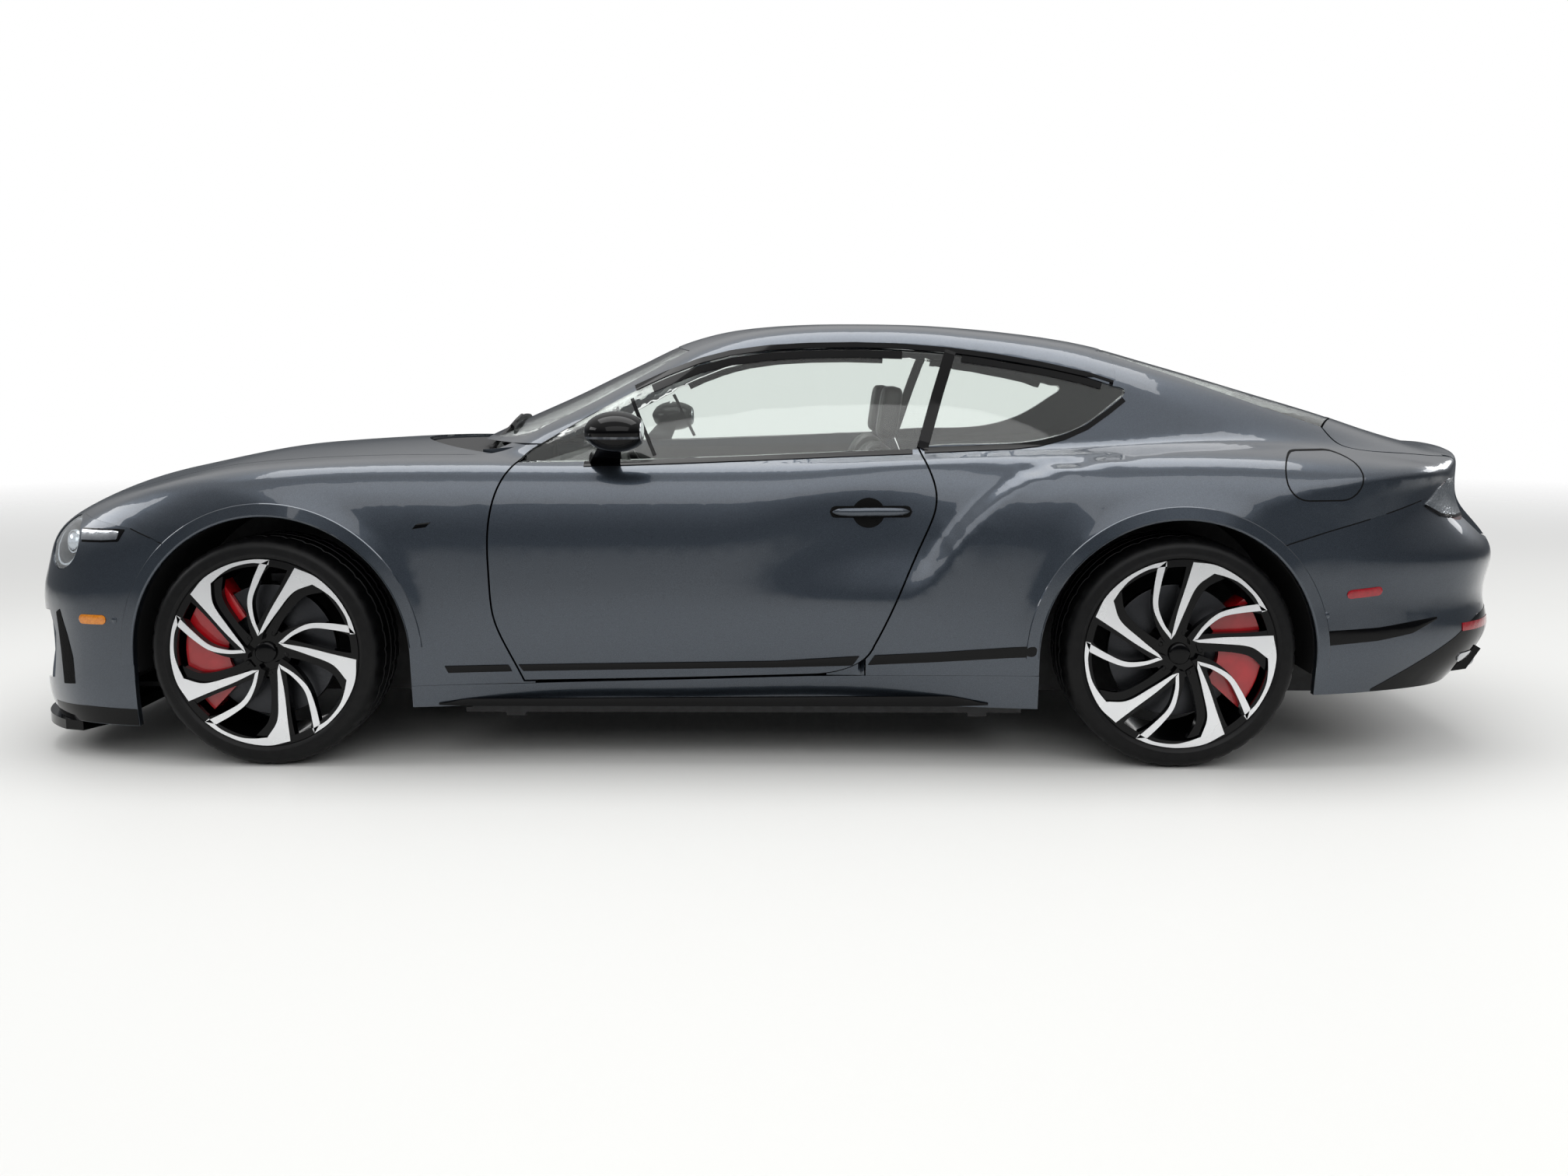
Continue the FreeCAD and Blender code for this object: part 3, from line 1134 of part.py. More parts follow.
# Rear axle: subframe, arms and hub carriers in one
rear_solids = [box(REAR_AXLE_X - 160, REAR_AXLE_X + 160, -430, 430, 230, 330)]
for side in (-1, 1):
    hub_y = side * size("rear_track") / 2
    y0, y1 = sorted((side * 420, hub_y - side * 60))
    rear_solids.append(box(REAR_AXLE_X - 90, REAR_AXLE_X + 90, y0, y1, 250, 290))
    y0, y1 = sorted((side * 350, side * 430))
    rear_solids.append(box(REAR_AXLE_X - 160, REAR_AXLE_X + 160, y0, y1, FLOOR_TOP + FIT, 330))
    y0, y1 = sorted((hub_y - side * 92, hub_y + side * (CALIPER_BACK - FIT)))
    rear_solids.append(box(REAR_AXLE_X + 80, REAR_AXLE_X + 190, y0, y1, TYRE_RADIUS - 60, TYRE_RADIUS + 60))
    y0, y1 = sorted((hub_y - side * 92, hub_y - side * 40))
    rear_solids.append(box(REAR_AXLE_X - 50, REAR_AXLE_X + 190, y0, y1,
                           TYRE_RADIUS - 110, TYRE_RADIUS + 60))
    rear_solids.append(Part.makeCylinder(62, 60, Vec(REAR_AXLE_X, hub_y - side * 20, TYRE_RADIUS),
                                         Vec(0, -side, 0)))
rear_axle = rear_solids[0].fuse(rear_solids[1:])
for side in (-1, 1):
    hub_y = side * size("rear_track") / 2
    rear_axle = rear_axle.cut(Part.makeCylinder(SPINDLE_RADIUS + BEARING_GAP, 200,
                                                Vec(REAR_AXLE_X, hub_y, TYRE_RADIUS), Vec(0, -side, 0)))
add_part("rear_axle", keep_solids(rear_axle))

# Floor: underfloor, tunnel, firewall, inner sills, rear trim walls, boot floor and deck
PLATE = 12.0
CABIN_SIDE = 745.0
WELL_SIDE = 478.0


def side_plates(side):
    """Plates of one side: rocker, hinge post, trim wall, wheelhouse walls, front rail."""
    low = CLEARANCE
    plates = []
    for s0, s1, y0, y1, z0, z1 in (
            (620, 2380, ROCKER_IN, ROCKER_OUT, low, 252),
            (700, 800, 770, POST_SIDE, low, 860),
            (2150, 2390, CABIN_SIDE - PLATE, CABIN_SIDE, low, 930),
            (-520, 640, WELL_SIDE - PLATE, WELL_SIDE, low, 800),
            (2340, 3440, WELL_SIDE - PLATE, WELL_SIDE, low, 905),
            (3440, 3840, WELL_SIDE - PLATE, WELL_SIDE, 400, 640),
            (560, 660, WELL_SIDE, CABIN_SIDE - 20, low, 400),
            (-790, 640, WELL_SIDE - 44, WELL_SIDE - PLATE, 330, 400)):
        near, far = sorted((side * y0, side * y1))
        plates.append(drawn_box(s0, s1, near, far, z0, z1))
    return plates


def arm_windows(side):
    """Windows in the wheelhouse walls for the suspension arms."""
    near, far = sorted((side * across(WELL_SIDE - 2 * PLATE - 22), side * across(WELL_SIDE + 6)))
    room = 6.0
    windows = []
    for axle_x, half, z0, z1 in ((FRONT_AXLE_X, 28, LOWER_ARM, LOWER_ARM + ARM_TALL),
                                 (FRONT_AXLE_X, 28, UPPER_ARM, UPPER_ARM + ARM_TALL),
                                 (REAR_AXLE_X, 90, 250, 290)):
        windows.append(box(axle_x - half - room, axle_x + half + room, near, far, z0 - room, z1 + room))
    return windows


def floor_shape():
    low = CLEARANCE
    middle = WELL_SIDE - 40
    plates = [drawn_box(-640, 640, -middle, middle, low, FLOOR_TOP),
              drawn_box(600, 2330, -ROCKER_OUT, ROCKER_OUT, low, FLOOR_TOP),
              drawn_box(2330, 3440, -middle, middle, low, FLOOR_TOP),
              drawn_box(640, 660, -CABIN_SIDE + 20, CABIN_SIDE - 20, low, 880),
              drawn_box(660, 2330, -130, 130, low, 330),
              drawn_box(2500, 2520, -WELL_SIDE, WELL_SIDE, low, 905),
              drawn_box(2300, 2520, -WELL_SIDE + 4, WELL_SIDE - 4, 400, 418),
              drawn_box(2500, 3840, -WELL_SIDE, WELL_SIDE, 400, 412),
              drawn_box(3828, 3840, -WELL_SIDE, WELL_SIDE, 400, 640),
              drawn_box(2510, 3200, -860, 860, 905, 917),
              drawn_box(TOW_EYE[0], -765, -520, 520, TOW_EYE[2] - 35, TOW_EYE[2] + 35)]
    windows = []
    for side in (-1, 1):
        plates += side_plates(side)
        windows += arm_windows(side)
    floor = plates[0].fuse(plates[1:])
    pad = size("jack_pad_width")
    lugs = [lug_with_hole(pivot, CROSS, DOWN, BONNET_LUG) for pivot in bonnet_pivots]
    lugs += [lug_with_hole(pivot, CROSS, BOOT_LUG_WAY, BOOT_LUG) for pivot in boot_pivots]
    for side in (-1, 1):
        for station in JACK_STATIONS:
            lugs.append(Part.makeBox(pad, pad, JACK_PAD_DROP, Vec(along(station) - pad / 2,
                        side * across(JACK_PAD_SIDE) - pad / 2, low - JACK_PAD_DROP)))
    for pivot in door_pivots:
        lug = lug_with_hole(pivot, Vec(0, 0, 1), INWARD, door_lug)
        lugs += [lug, mirrored(lug)]
    eye = place(*TOW_EYE)
    boss = Part.makeBox(size("tow_eye_depth") + 10, 50, up(70), eye - Vec(0, 25, up(35)))
    hole = Part.makeCylinder(size("tow_eye_thread") / 2, size("tow_eye_depth"), eye, Vec(1, 0, 0))
    floor = floor.cut(Part.makeCompound(windows)).fuse(lugs + [boss]).cut(hole)
    for x, radius in ((FRONT_AXLE_X + FRONT_ARCH_SHIFT, size("front_arch_radius")),
                      (REAR_AXLE_X + REAR_ARCH_SHIFT, size("rear_arch_radius"))):
        for side in (-1, 1):
            start = Vec(x, side * across(WELL_SIDE), TYRE_RADIUS - ARCH_DROP)
            room = Part.makeCylinder(radius + LINER_OUT + FIT, across(500), start, Vec(0, side, 0))
            floor = floor.cut(room)
    return floor.removeSplitter()


ROCKER_IN = 790.0
ROCKER_OUT = 835.5
JACK_PAD_SIDE = 804.0
JACK_PAD_DROP = 12.0
JACK_STATIONS = (760, 2240)
LINER_IN = 4.0
LINER_OUT = 10.0
LINER_EDGE = 905.0
add_part("floor", keep_solids(floor_shape()))

# Wheel-arch liners, against the wheelhouse walls
liners = []
for axle_x, shift, radius in ((FRONT_AXLE_X, FRONT_ARCH_SHIFT, size("front_arch_radius")),
                              (REAR_AXLE_X, REAR_ARCH_SHIFT, size("rear_arch_radius"))):
    middle = TYRE_RADIUS - ARCH_DROP
    start = Vec(axle_x + shift, -across(WELL_SIDE), middle)
    wide = across(LINER_EDGE - WELL_SIDE)
    outer = Part.makeCylinder(radius + LINER_OUT, wide, start, Vec(0, -1, 0))
    inner = Part.makeCylinder(radius + LINER_IN, wide, start, Vec(0, -1, 0))
    liners.append(outer.cut(inner).cut(box(-3000, 3000, -1200, 0, -100, middle - 60)))
add_part("arch_liners", both_sides(Part.makeCompound(liners)))

# Engine: one block on its mounts
engine = doc.addObject("Part::Box", "engine_block")
engine.setExpression("Length", "Sizes.engine_length")
engine.setExpression("Width", "Sizes.engine_width")
engine.setExpression("Height", "Sizes.engine_depth")
engine.Placement.Base = Vec(along(-120), -size("engine_width") / 2, FLOOR_TOP + 130)
doc.recompute()
engine_mounts = []
for x in (along(100), along(480)):
    engine_mounts.append(Part.makeBox(60, 500, 132, Vec(x, -250, FLOOR_TOP)))
engine_all = engine.Shape.fuse(engine_mounts)
engine_all = engine_all.cut(box(FRONT_AXLE_X - 70, FRONT_AXLE_X + 70, -440, 440, 100, 285))
add_part("engine", keep_solids(engine_all))

# Dashboard: a profile across the cabin
DASH_FRONT = 660.3
DASH_PROFILE = [(DASH_FRONT, 560), (DASH_FRONT, 870), (800, 935), (960, 915), (1010, 870), (990, 800),
                (900, 740), (850, 560)]
dash = doc.addObject("PartDesign::Body", "dash_body")
dash_sketch = dash.newObject("Sketcher::SketchObject", "dash_profile")
planes = {f.Role: f for f in dash.Origin.OriginFeatures}
dash_sketch.AttachmentSupport = [(planes["XZ_Plane"], "")]
dash_sketch.MapMode = "FlatFace"
for i, (x, z) in enumerate(DASH_PROFILE):
    nx, nz = DASH_PROFILE[(i + 1) % len(DASH_PROFILE)]
    dash_sketch.addGeometry(Part.LineSegment(Vec(along(x), up(z), 0), Vec(along(nx), up(nz), 0)), False)
dash_pad = dash.newObject("PartDesign::Pad", "dash_pad")
dash_pad.Profile = dash_sketch
dash_pad.Midplane = True
dash_pad.setExpression("Length", "Sizes.body_width * 0.68")
doc.recompute()
dash.Tip = dash_pad
keep(dash, "dashboard")

# Steering wheel with its column, on the left
STEERING_CENTRE = (1140, -370, 800)
STEERING_TILT = 22.0


def steering_shape():
    radius = size("steering_wheel_radius")
    rim = Part.makeTorus(radius, 15)
    hub = Part.makeCylinder(60, 30, Vec(0, 0, -34))
    spokes = [Part.makeBox(2 * radius - 10, 34, 12, Vec(-radius + 5, -17, -22)),
              Part.makeBox(34, radius - 5, 12, Vec(-17, -radius + 5, -22))]
    column = Part.makeCylinder(32, 190, Vec(0, 0, -224))
    whole = rim.fuse([hub, column] + spokes)
    whole.Placement = FreeCAD.Placement(place(*STEERING_CENTRE),
                                        FreeCAD.Rotation(Vec(0, 1, 0), 90 - STEERING_TILT)
                                        .multiply(FreeCAD.Rotation(Vec(0, 0, 1), 90)))
    return whole


steering = steering_shape().cut(dash.Shape)
add_part("steering_wheel", keep_solids(steering))


def padded_box(x0, x1, width, z0, z1, lean=0.0, round_by=45.0):
    """Cushion with rounded edges, leaning back by an angle about its foot."""
    block = Part.makeBox(x1 - x0, width, z1 - z0, Vec(x0, -width / 2, z0))
    block = block.makeFillet(round_by, block.Edges)
    block.rotate(Vec(x0, 0, z0), Vec(0, 1, 0), lean)
    return block


def seat_shape(centre_y):
    width = size("seat_width")
    cushion = padded_box(along(1290), along(1790), width, up(330), up(470), -4.0)
    back = padded_box(along(1740), along(1870), width, up(400), up(1030), 16.0)
    head = padded_box(along(1905), along(1985), width * 0.5, up(1000), up(1190), 8.0, 32.0)
    base = drawn_box(1360, 1760, -200, 200, FLOOR_TOP, 345)
    seat = cushion.fuse([back, head, base])
    seat.translate(Vec(0, centre_y, 0))
    return seat


SEAT_Y = 370.0
add_part("front_seats", Part.makeCompound([seat_shape(-across(SEAT_Y)), seat_shape(across(SEAT_Y))]))

REAR_SEAT_HALF = WELL_SIDE - PLATE - 4
rear_bench = padded_box(along(2130), along(2498), across(2 * REAR_SEAT_HALF), up(418), up(520), -3.0, 36.0)
rear_back = padded_box(along(2390), along(2470), across(2 * REAR_SEAT_HALF), up(440), up(900), 8.0, 34.0)
seat_room = drawn_box(2100, 2499, -REAR_SEAT_HALF, REAR_SEAT_HALF, 418.3, 1100)
rear_foot = drawn_box(2150, 2290, -REAR_SEAT_HALF, REAR_SEAT_HALF, 330.3, 440)
rear_seat = rear_bench.fuse(rear_back).common(seat_room).fuse(rear_foot)
add_part("rear_seat", keep_solids(rear_seat))

# Door mirrors: an egg-shaped housing on a foot
MIRROR_MIDDLE = (1118, -1000, 1052)
MIRROR_HALF = (96, 92, 62)


def mirror_shape():
    egg = Part.makeSphere(1.0)
    stretch = FreeCAD.Matrix()
    stretch.scale(Vec(*MIRROR_HALF))
    egg = egg.transformGeometry(stretch)
    egg.translate(place(*MIRROR_MIDDLE))
    egg = egg.cut(box(along(1196), along(1300), -1300, 0, 0, 1300))
    foot = Part.makeLoft([Part.makePolygon([place(x, y, z) for x, y, z in ring]) for ring in (
        [(1010, -850, 940), (1110, -850, 940), (1100, -850, 975), (1015, -850, 975), (1010, -850, 940)],
        [(1060, -960, 1010), (1130, -960, 1010), (1125, -960, 1035), (1065, -960, 1035),
         (1060, -960, 1010)])], True)
    shape = egg.fuse(foot).cut(door)
    shape.translate(Vec(0, -FIT, 0))
    return shape


mirror_solid = keep_solids(mirror_shape())
add_part("mirror_l", mirror_solid)
add_part("mirror_r", mirrored(mirror_solid))

doc.recompute()
for item in doc.Objects:
    if {"Invalid", "Error"} & set(item.State):
        raise RuntimeError("%s failed: %s" % (item.Label, item.State))
for item in PARTS:
    if item.Shape.isNull() or not item.Shape.isValid() or not item.Shape.Solids:
        raise RuntimeError("%s has no valid solid" % item.Label)

os.makedirs("parts", exist_ok=True)
for item in PARTS:
    item.Shape.exportStep("parts/%s.step" % item.Label)
    print("%-16s %2d solid(s) %8.2f litres" % (item.Label, len(item.Shape.Solids),
                                               item.Shape.Volume / 1e6))
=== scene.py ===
"""Two-door coupe car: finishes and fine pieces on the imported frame. Metres, front to -X, up +Z."""
import json
import math

import bmesh
import bpy
from mathutils import Matrix, Vector
from mathutils.bvhtree import BVHTree


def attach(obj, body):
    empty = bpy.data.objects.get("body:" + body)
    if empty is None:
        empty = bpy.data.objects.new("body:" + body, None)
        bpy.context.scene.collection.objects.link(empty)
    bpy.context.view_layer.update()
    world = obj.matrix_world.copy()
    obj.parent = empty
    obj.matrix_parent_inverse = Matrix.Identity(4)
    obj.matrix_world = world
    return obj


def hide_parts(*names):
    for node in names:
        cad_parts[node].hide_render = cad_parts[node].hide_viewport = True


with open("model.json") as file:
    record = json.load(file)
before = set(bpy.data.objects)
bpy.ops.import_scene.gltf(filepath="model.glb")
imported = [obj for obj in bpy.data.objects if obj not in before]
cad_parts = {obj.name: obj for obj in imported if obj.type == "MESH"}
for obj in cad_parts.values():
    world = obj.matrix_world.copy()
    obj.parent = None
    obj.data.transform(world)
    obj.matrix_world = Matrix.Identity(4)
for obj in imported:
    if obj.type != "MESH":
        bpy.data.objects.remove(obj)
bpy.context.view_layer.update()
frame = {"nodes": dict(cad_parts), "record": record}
nodes = frame["nodes"]

MM = 0.001
FRONT_AXLE = -1.5425
REAR_AXLE = 1.3085
TYRE_RADIUS = 0.363
UP = Vector((0, 0, 1))
# Rays that look for the body start outside it, at these places
BESIDE = -1.4
ABOVE = 1.8
AHEAD = -3.4


def along(station):
    """Metres in the frame for a station in metres behind the front axle."""
    return station + FRONT_AXLE


# Camera: the photograph's viewing angle, fitted to the wheels and shut lines
CAMERA_PLACE = Vector((0.1649, -5.6029, 1.2142))
CAMERA_YAW = -0.0177
CAMERA_PITCH = 0.1379
CAMERA_ROLL = 0.0016
CAMERA_LENS = 34.85


def make_camera():
    data = bpy.data.cameras.new("photo_camera")
    data.lens = CAMERA_LENS
    data.sensor_width = 36.0
    camera = bpy.data.objects.new("photo_camera", data)
    bpy.context.collection.objects.link(camera)
    sy, cy = math.sin(CAMERA_YAW), math.cos(CAMERA_YAW)
    sp, cp = math.sin(CAMERA_PITCH), math.cos(CAMERA_PITCH)
    sr, cr = math.sin(CAMERA_ROLL), math.cos(CAMERA_ROLL)
    ahead = Vector((sy * cp, cy * cp, -sp))
    right = Vector((cy, -sy, 0))
    down = ahead.cross(right)
    right, down = right * cr + down * sr, down * cr - right * sr
    turn = Matrix((right, -down, -ahead)).transposed()
    camera.matrix_world = Matrix.Translation(CAMERA_PLACE) @ turn.to_4x4()
    bpy.context.scene.camera = camera


make_camera()


# Materials
def linear(code):
    """sRGB hex colour to linear RGBA."""
    values = [int(code[i:i + 2], 16) / 255 for i in (0, 2, 4)]
    return [v / 12.92 if v <= 0.04045 else ((v + 0.055) / 1.055) ** 2.4 for v in values] + [1.0]


def add(tree, kind, settings=None, links=None):
    """Adds a node; settings are attributes or input values, links are input: output socket."""
    node = tree.nodes.new(kind)
    for name, value in (settings or {}).items():
        if isinstance(name, int) or name in node.inputs:
            node.inputs[name].default_value = value
        else:
            setattr(node, name, value)
    for name, socket in (links or {}).items():
        tree.links.new(node.inputs[name], socket)
    return node


def per_metre(size_mm):
    """Texture scale whose cells are about this many millimetres wide."""
    return 1000.0 / size_mm


def object_place(tree):
    return add(tree, "ShaderNodeTexCoord").outputs["Object"]


def raise_relief(tree, shader, height, height_mm):
    bump = add(tree, "ShaderNodeBump", {"Distance": height_mm * MM}, {"Height": height})
    tree.links.new(shader.inputs["Normal"], bump.outputs["Normal"])


def grain(tree, shader, size_mm, height_mm, kind="ShaderNodeTexNoise"):
    """Relief of a moulded or sewn surface."""
    texture = add(tree, kind, {"Scale": per_metre(size_mm)}, {"Vector": object_place(tree)})
    out = texture.outputs["Fac"] if "Fac" in texture.outputs else texture.outputs["Distance"]
    raise_relief(tree, shader, out, height_mm)


def blend_between(tree, source, stops):
    """Colour that changes with a value; stops are (place, hex colour or grey)."""
    ramp = add(tree, "ShaderNodeValToRGB", None, {"Fac": source})
    for element, (place, value) in zip(ramp.color_ramp.elements, stops):
        element.position = place
        element.color = linear(value) if isinstance(value, str) else [value, value, value, 1.0]
    return ramp.outputs["Color"]


def mottle(tree, shader, first, second, size_mm, low=0.4, high=0.6):
    """Blends two hex colours, or two roughnesses, in soft patches of this size."""
    noise = add(tree, "ShaderNodeTexNoise", {"Scale": per_metre(size_mm), "Detail": 3.0},
                {"Vector": object_place(tree)})
    mixed = blend_between(tree, noise.outputs["Fac"], ((low, first), (high, second)))
    socket = "Base Color" if isinstance(first, str) else "Roughness"
    tree.links.new(shader.inputs[socket], mixed)


VORONOI = "ShaderNodeTexVoronoi"
SLOT_OF = {}


def finish(name, slot, colour, roughness, metallic=0.0, spots=None, relief=None, **sockets):
    """A material and its slot; spots and relief hold what mottle and grain take."""
    material = bpy.data.materials.new(name)
    material.use_nodes = True
    tree = material.node_tree
    shader = tree.nodes["Principled BSDF"]
    shader.inputs["Base Color"].default_value = linear(colour)
    shader.inputs["Roughness"].default_value = roughness
    shader.inputs["Metallic"].default_value = metallic
    for socket, value in sockets.items():
        shader.inputs[socket.replace("_", " ")].default_value = value
    material.diffuse_color = linear(colour)
    if spots:
        mottle(tree, shader, *spots)
    if relief:
        grain(tree, shader, *relief)
    SLOT_OF[material.name] = slot
    return material


# Metallic base coat under clear lacquer: aluminium flakes give a fine sparkle, the lacquer sharp gloss.
# Real flakes are 0.02 mm; drawn at 1.2 mm so that the sparkle shows
paint = finish("metallic_basecoat_clearcoat", "paint", "373D45", 0.32, 0.85,
               spots=("2E343C", "454D57", 1.2, 0.35, 0.65), Coat_Weight=1.0, Coat_Roughness=0.03)

# Float glass, tinted slightly green by iron
window_glass = finish("tinted_float_glass", "clear_glass", "ECF1EE", 0.0, relief=(400.0, 0.02),
                      Transmission_Weight=1.0, IOR=1.45, Specular_IOR_Level=0.2)

# Piano-black ABS: polished moulding with a deep even gloss
black_gloss = finish("piano_black_abs", "black_trim", "040405", 0.06, spots=(0.05, 0.09, 60.0),
                     Specular_IOR_Level=0.18)

# Textured polypropylene: moulded grain that scatters light
black_plastic = finish("grained_polypropylene", "dark_plastic", "141415", 0.62, relief=(1.6, 0.12))

# Moulded ducts behind the intakes: matt black, nearly lightless. The same finish is the painted shade in the
# door handles' cups and in the band round their bars
black_duct_and_painted_shade = finish("matt_black_duct_and_painted_shade", "dark_plastic", "050505", 0.85, relief=(4.0, 0.6, VORONOI),
                    Specular_IOR_Level=0.15)

# Polycarbonate lens, clear and hard-coated
clear_lens = finish("clear_polycarbonate", "head_lamp", "F4F8FA", 0.02, relief=(160.0, 0.02),
                    Transmission_Weight=1.0, IOR=1.58)

# Vacuum-metallised reflector: bright, slightly soft mirror
reflector = finish("metallised_reflector", "bright_metal", "C9CCD0", 0.14, 1.0, spots=(0.1, 0.2, 14.0))

# Red acrylic lens with moulded optics
red_lens = finish("red_acrylic_lens", "tail_lamp", "8E0B18", 0.08, spots=("820A16", "98101E", 9.0, 0.3, 0.7),
                  Coat_Weight=0.5, Coat_Roughness=0.02)

# Amber acrylic lens: the same optics, in the side markers
amber_lens = finish("amber_acrylic_lens", "tail_lamp", "C67614", 0.1,
                    spots=("B8680E", "D4841E", 6.0, 0.3, 0.7), Coat_Weight=0.5, Coat_Roughness=0.02)

# Dark red acrylic of the tail lamps under a polished skin: its lighter red patches are painted glints of the
# moulded optics
dark_lens = finish("dark_red_acrylic", "tail_lamp", "3A0A0E", 0.1, spots=("2E070A", "5E1117", 5.0, 0.3, 0.7),
                   Coat_Weight=1.0, Coat_Roughness=0.02)

# Clear outer lens of the tail lamp over pressed optics: silvery facets under a polished skin
faceted_lens = finish("clear_lens_over_facets", "tail_lamp", "8F9499", 0.16, 0.75,
                      relief=(9.0, 1.0, VORONOI), Coat_Weight=0.8, Coat_Roughness=0.02)

# Polished stainless steel of the tail pipes and trim strips
bright_steel = finish("polished_stainless", "bright_metal", "B8BABD", 0.12, 1.0, spots=(0.08, 0.2, 22.0))

# Cast iron brake disc: dull grey, turned smooth where the pads run
turned_iron = finish("turned_cast_iron", "steel", "36373A", 0.45, 0.7, spots=(0.28, 0.45, 5.0))

# Red lacquer over cast aluminium calipers
caliper_red = finish("red_caliper_lacquer", "caliper", "A31219", 0.25, spots=("A30A14", "B50F1A", 60.0),
                     Coat_Weight=0.7, Coat_Roughness=0.06)

# E-coated steel underbody: satin black
primer = finish("e_coated_steel", "underbody", "1C1C1E", 0.55, spots=("161617", "242426", 40.0))

# Zinc-flake coated chassis castings
chassis_metal = finish("coated_chassis_casting", "steel", "4A4B4D", 0.5, 0.6, relief=(2.5, 0.2))

# Sand-cast aluminium engine block
cast_aluminium = finish("sand_cast_aluminium", "engine", "8C8D8E", 0.5, 0.9, relief=(1.8, 0.25))

# Leather: fine pebble grain with a soft sheen
hide = finish("dark_brown_leather", "leather", "201A18", 0.5, relief=(2.2, 0.25, VORONOI), Sheen_Weight=0.08)
dash_hide = finish("black_dash_leather", "interior_trim", "110F0E", 0.55, relief=(2.0, 0.2, VORONOI),
                   Sheen_Weight=0.05)

# Woven polyester headlining over foam
headlining = finish("woven_headlining", "interior_trim", "4A4744", 0.9, relief=(1.6, 0.15), Sheen_Weight=0.3)

# Tufted nylon carpet
carpet = finish("tufted_nylon_carpet", "interior_trim", "0E0D0D", 0.95, relief=(3.0, 1.2), Sheen_Weight=0.2)

# Tyre rubber: carbon black with a dull even sheen
rubber = finish("carbon_black_rubber", "tyre", "050506", 0.42, spots=("050506", "0A0A0B", 25.0),
                Specular_IOR_Level=0.2)

# Diamond-turned aluminium: lathe-cut faces under clear lacquer
turned_face = finish("diamond_turned_aluminium", "rim", "E8E9EB", 0.28, 1.0, spots=(0.26, 0.30, 120.0))

# Gloss-black lacquer of the wheel's pockets and sides
wheel_black = finish("black_wheel_lacquer", "rim", "030304", 0.1, spots=(0.08, 0.14, 40.0),
                     Specular_IOR_Level=0.2)


def make_fins():
    """Radiator of pressed aluminium fins, blackened."""
    material = finish("blackened_radiator_fins", "dark_plastic", "18181A", 0.6, 0.4)
    tree = material.node_tree
    # Real fins stand 1.5 mm apart; drawn at 6 mm so that they show
    wave = add(tree, "ShaderNodeTexWave", {"Scale": per_metre(6.0) / 6.28, "bands_direction": "Y"},
               {"Vector": object_place(tree)})
    raise_relief(tree, tree.nodes["Principled BSDF"], wave.outputs["Fac"], 1.5)
    return material


fins = make_fins()
SLOT_FINISH = {SLOT_OF[made.name]: made for made in (
    paint, window_glass, black_gloss, clear_lens, dark_lens, wheel_black, black_plastic, bright_steel,
    chassis_metal, caliper_red, primer, cast_aluminium, dash_hide, hide, rubber)}


def dress(node, material):
    obj = nodes[node]
    if not obj.material_slots:
        obj.data.materials.append(material)
    for place in obj.material_slots:
        place.material = material


for entry in frame["record"]["subparts"]:
    if entry["material_slot"] in SLOT_FINISH:
        dress(entry["node"], SLOT_FINISH[entry["material_slot"]])


# Mesh helpers
def spread(first, last, count):
    """Evenly spaced values from first to last."""
    return [first + (last - first) * k / (count - 1) for k in range(count)]


def whole_turn(count):
    """Angles of evenly spaced points round a circle."""
    return [2 * math.pi * k / count for k in range(count)]


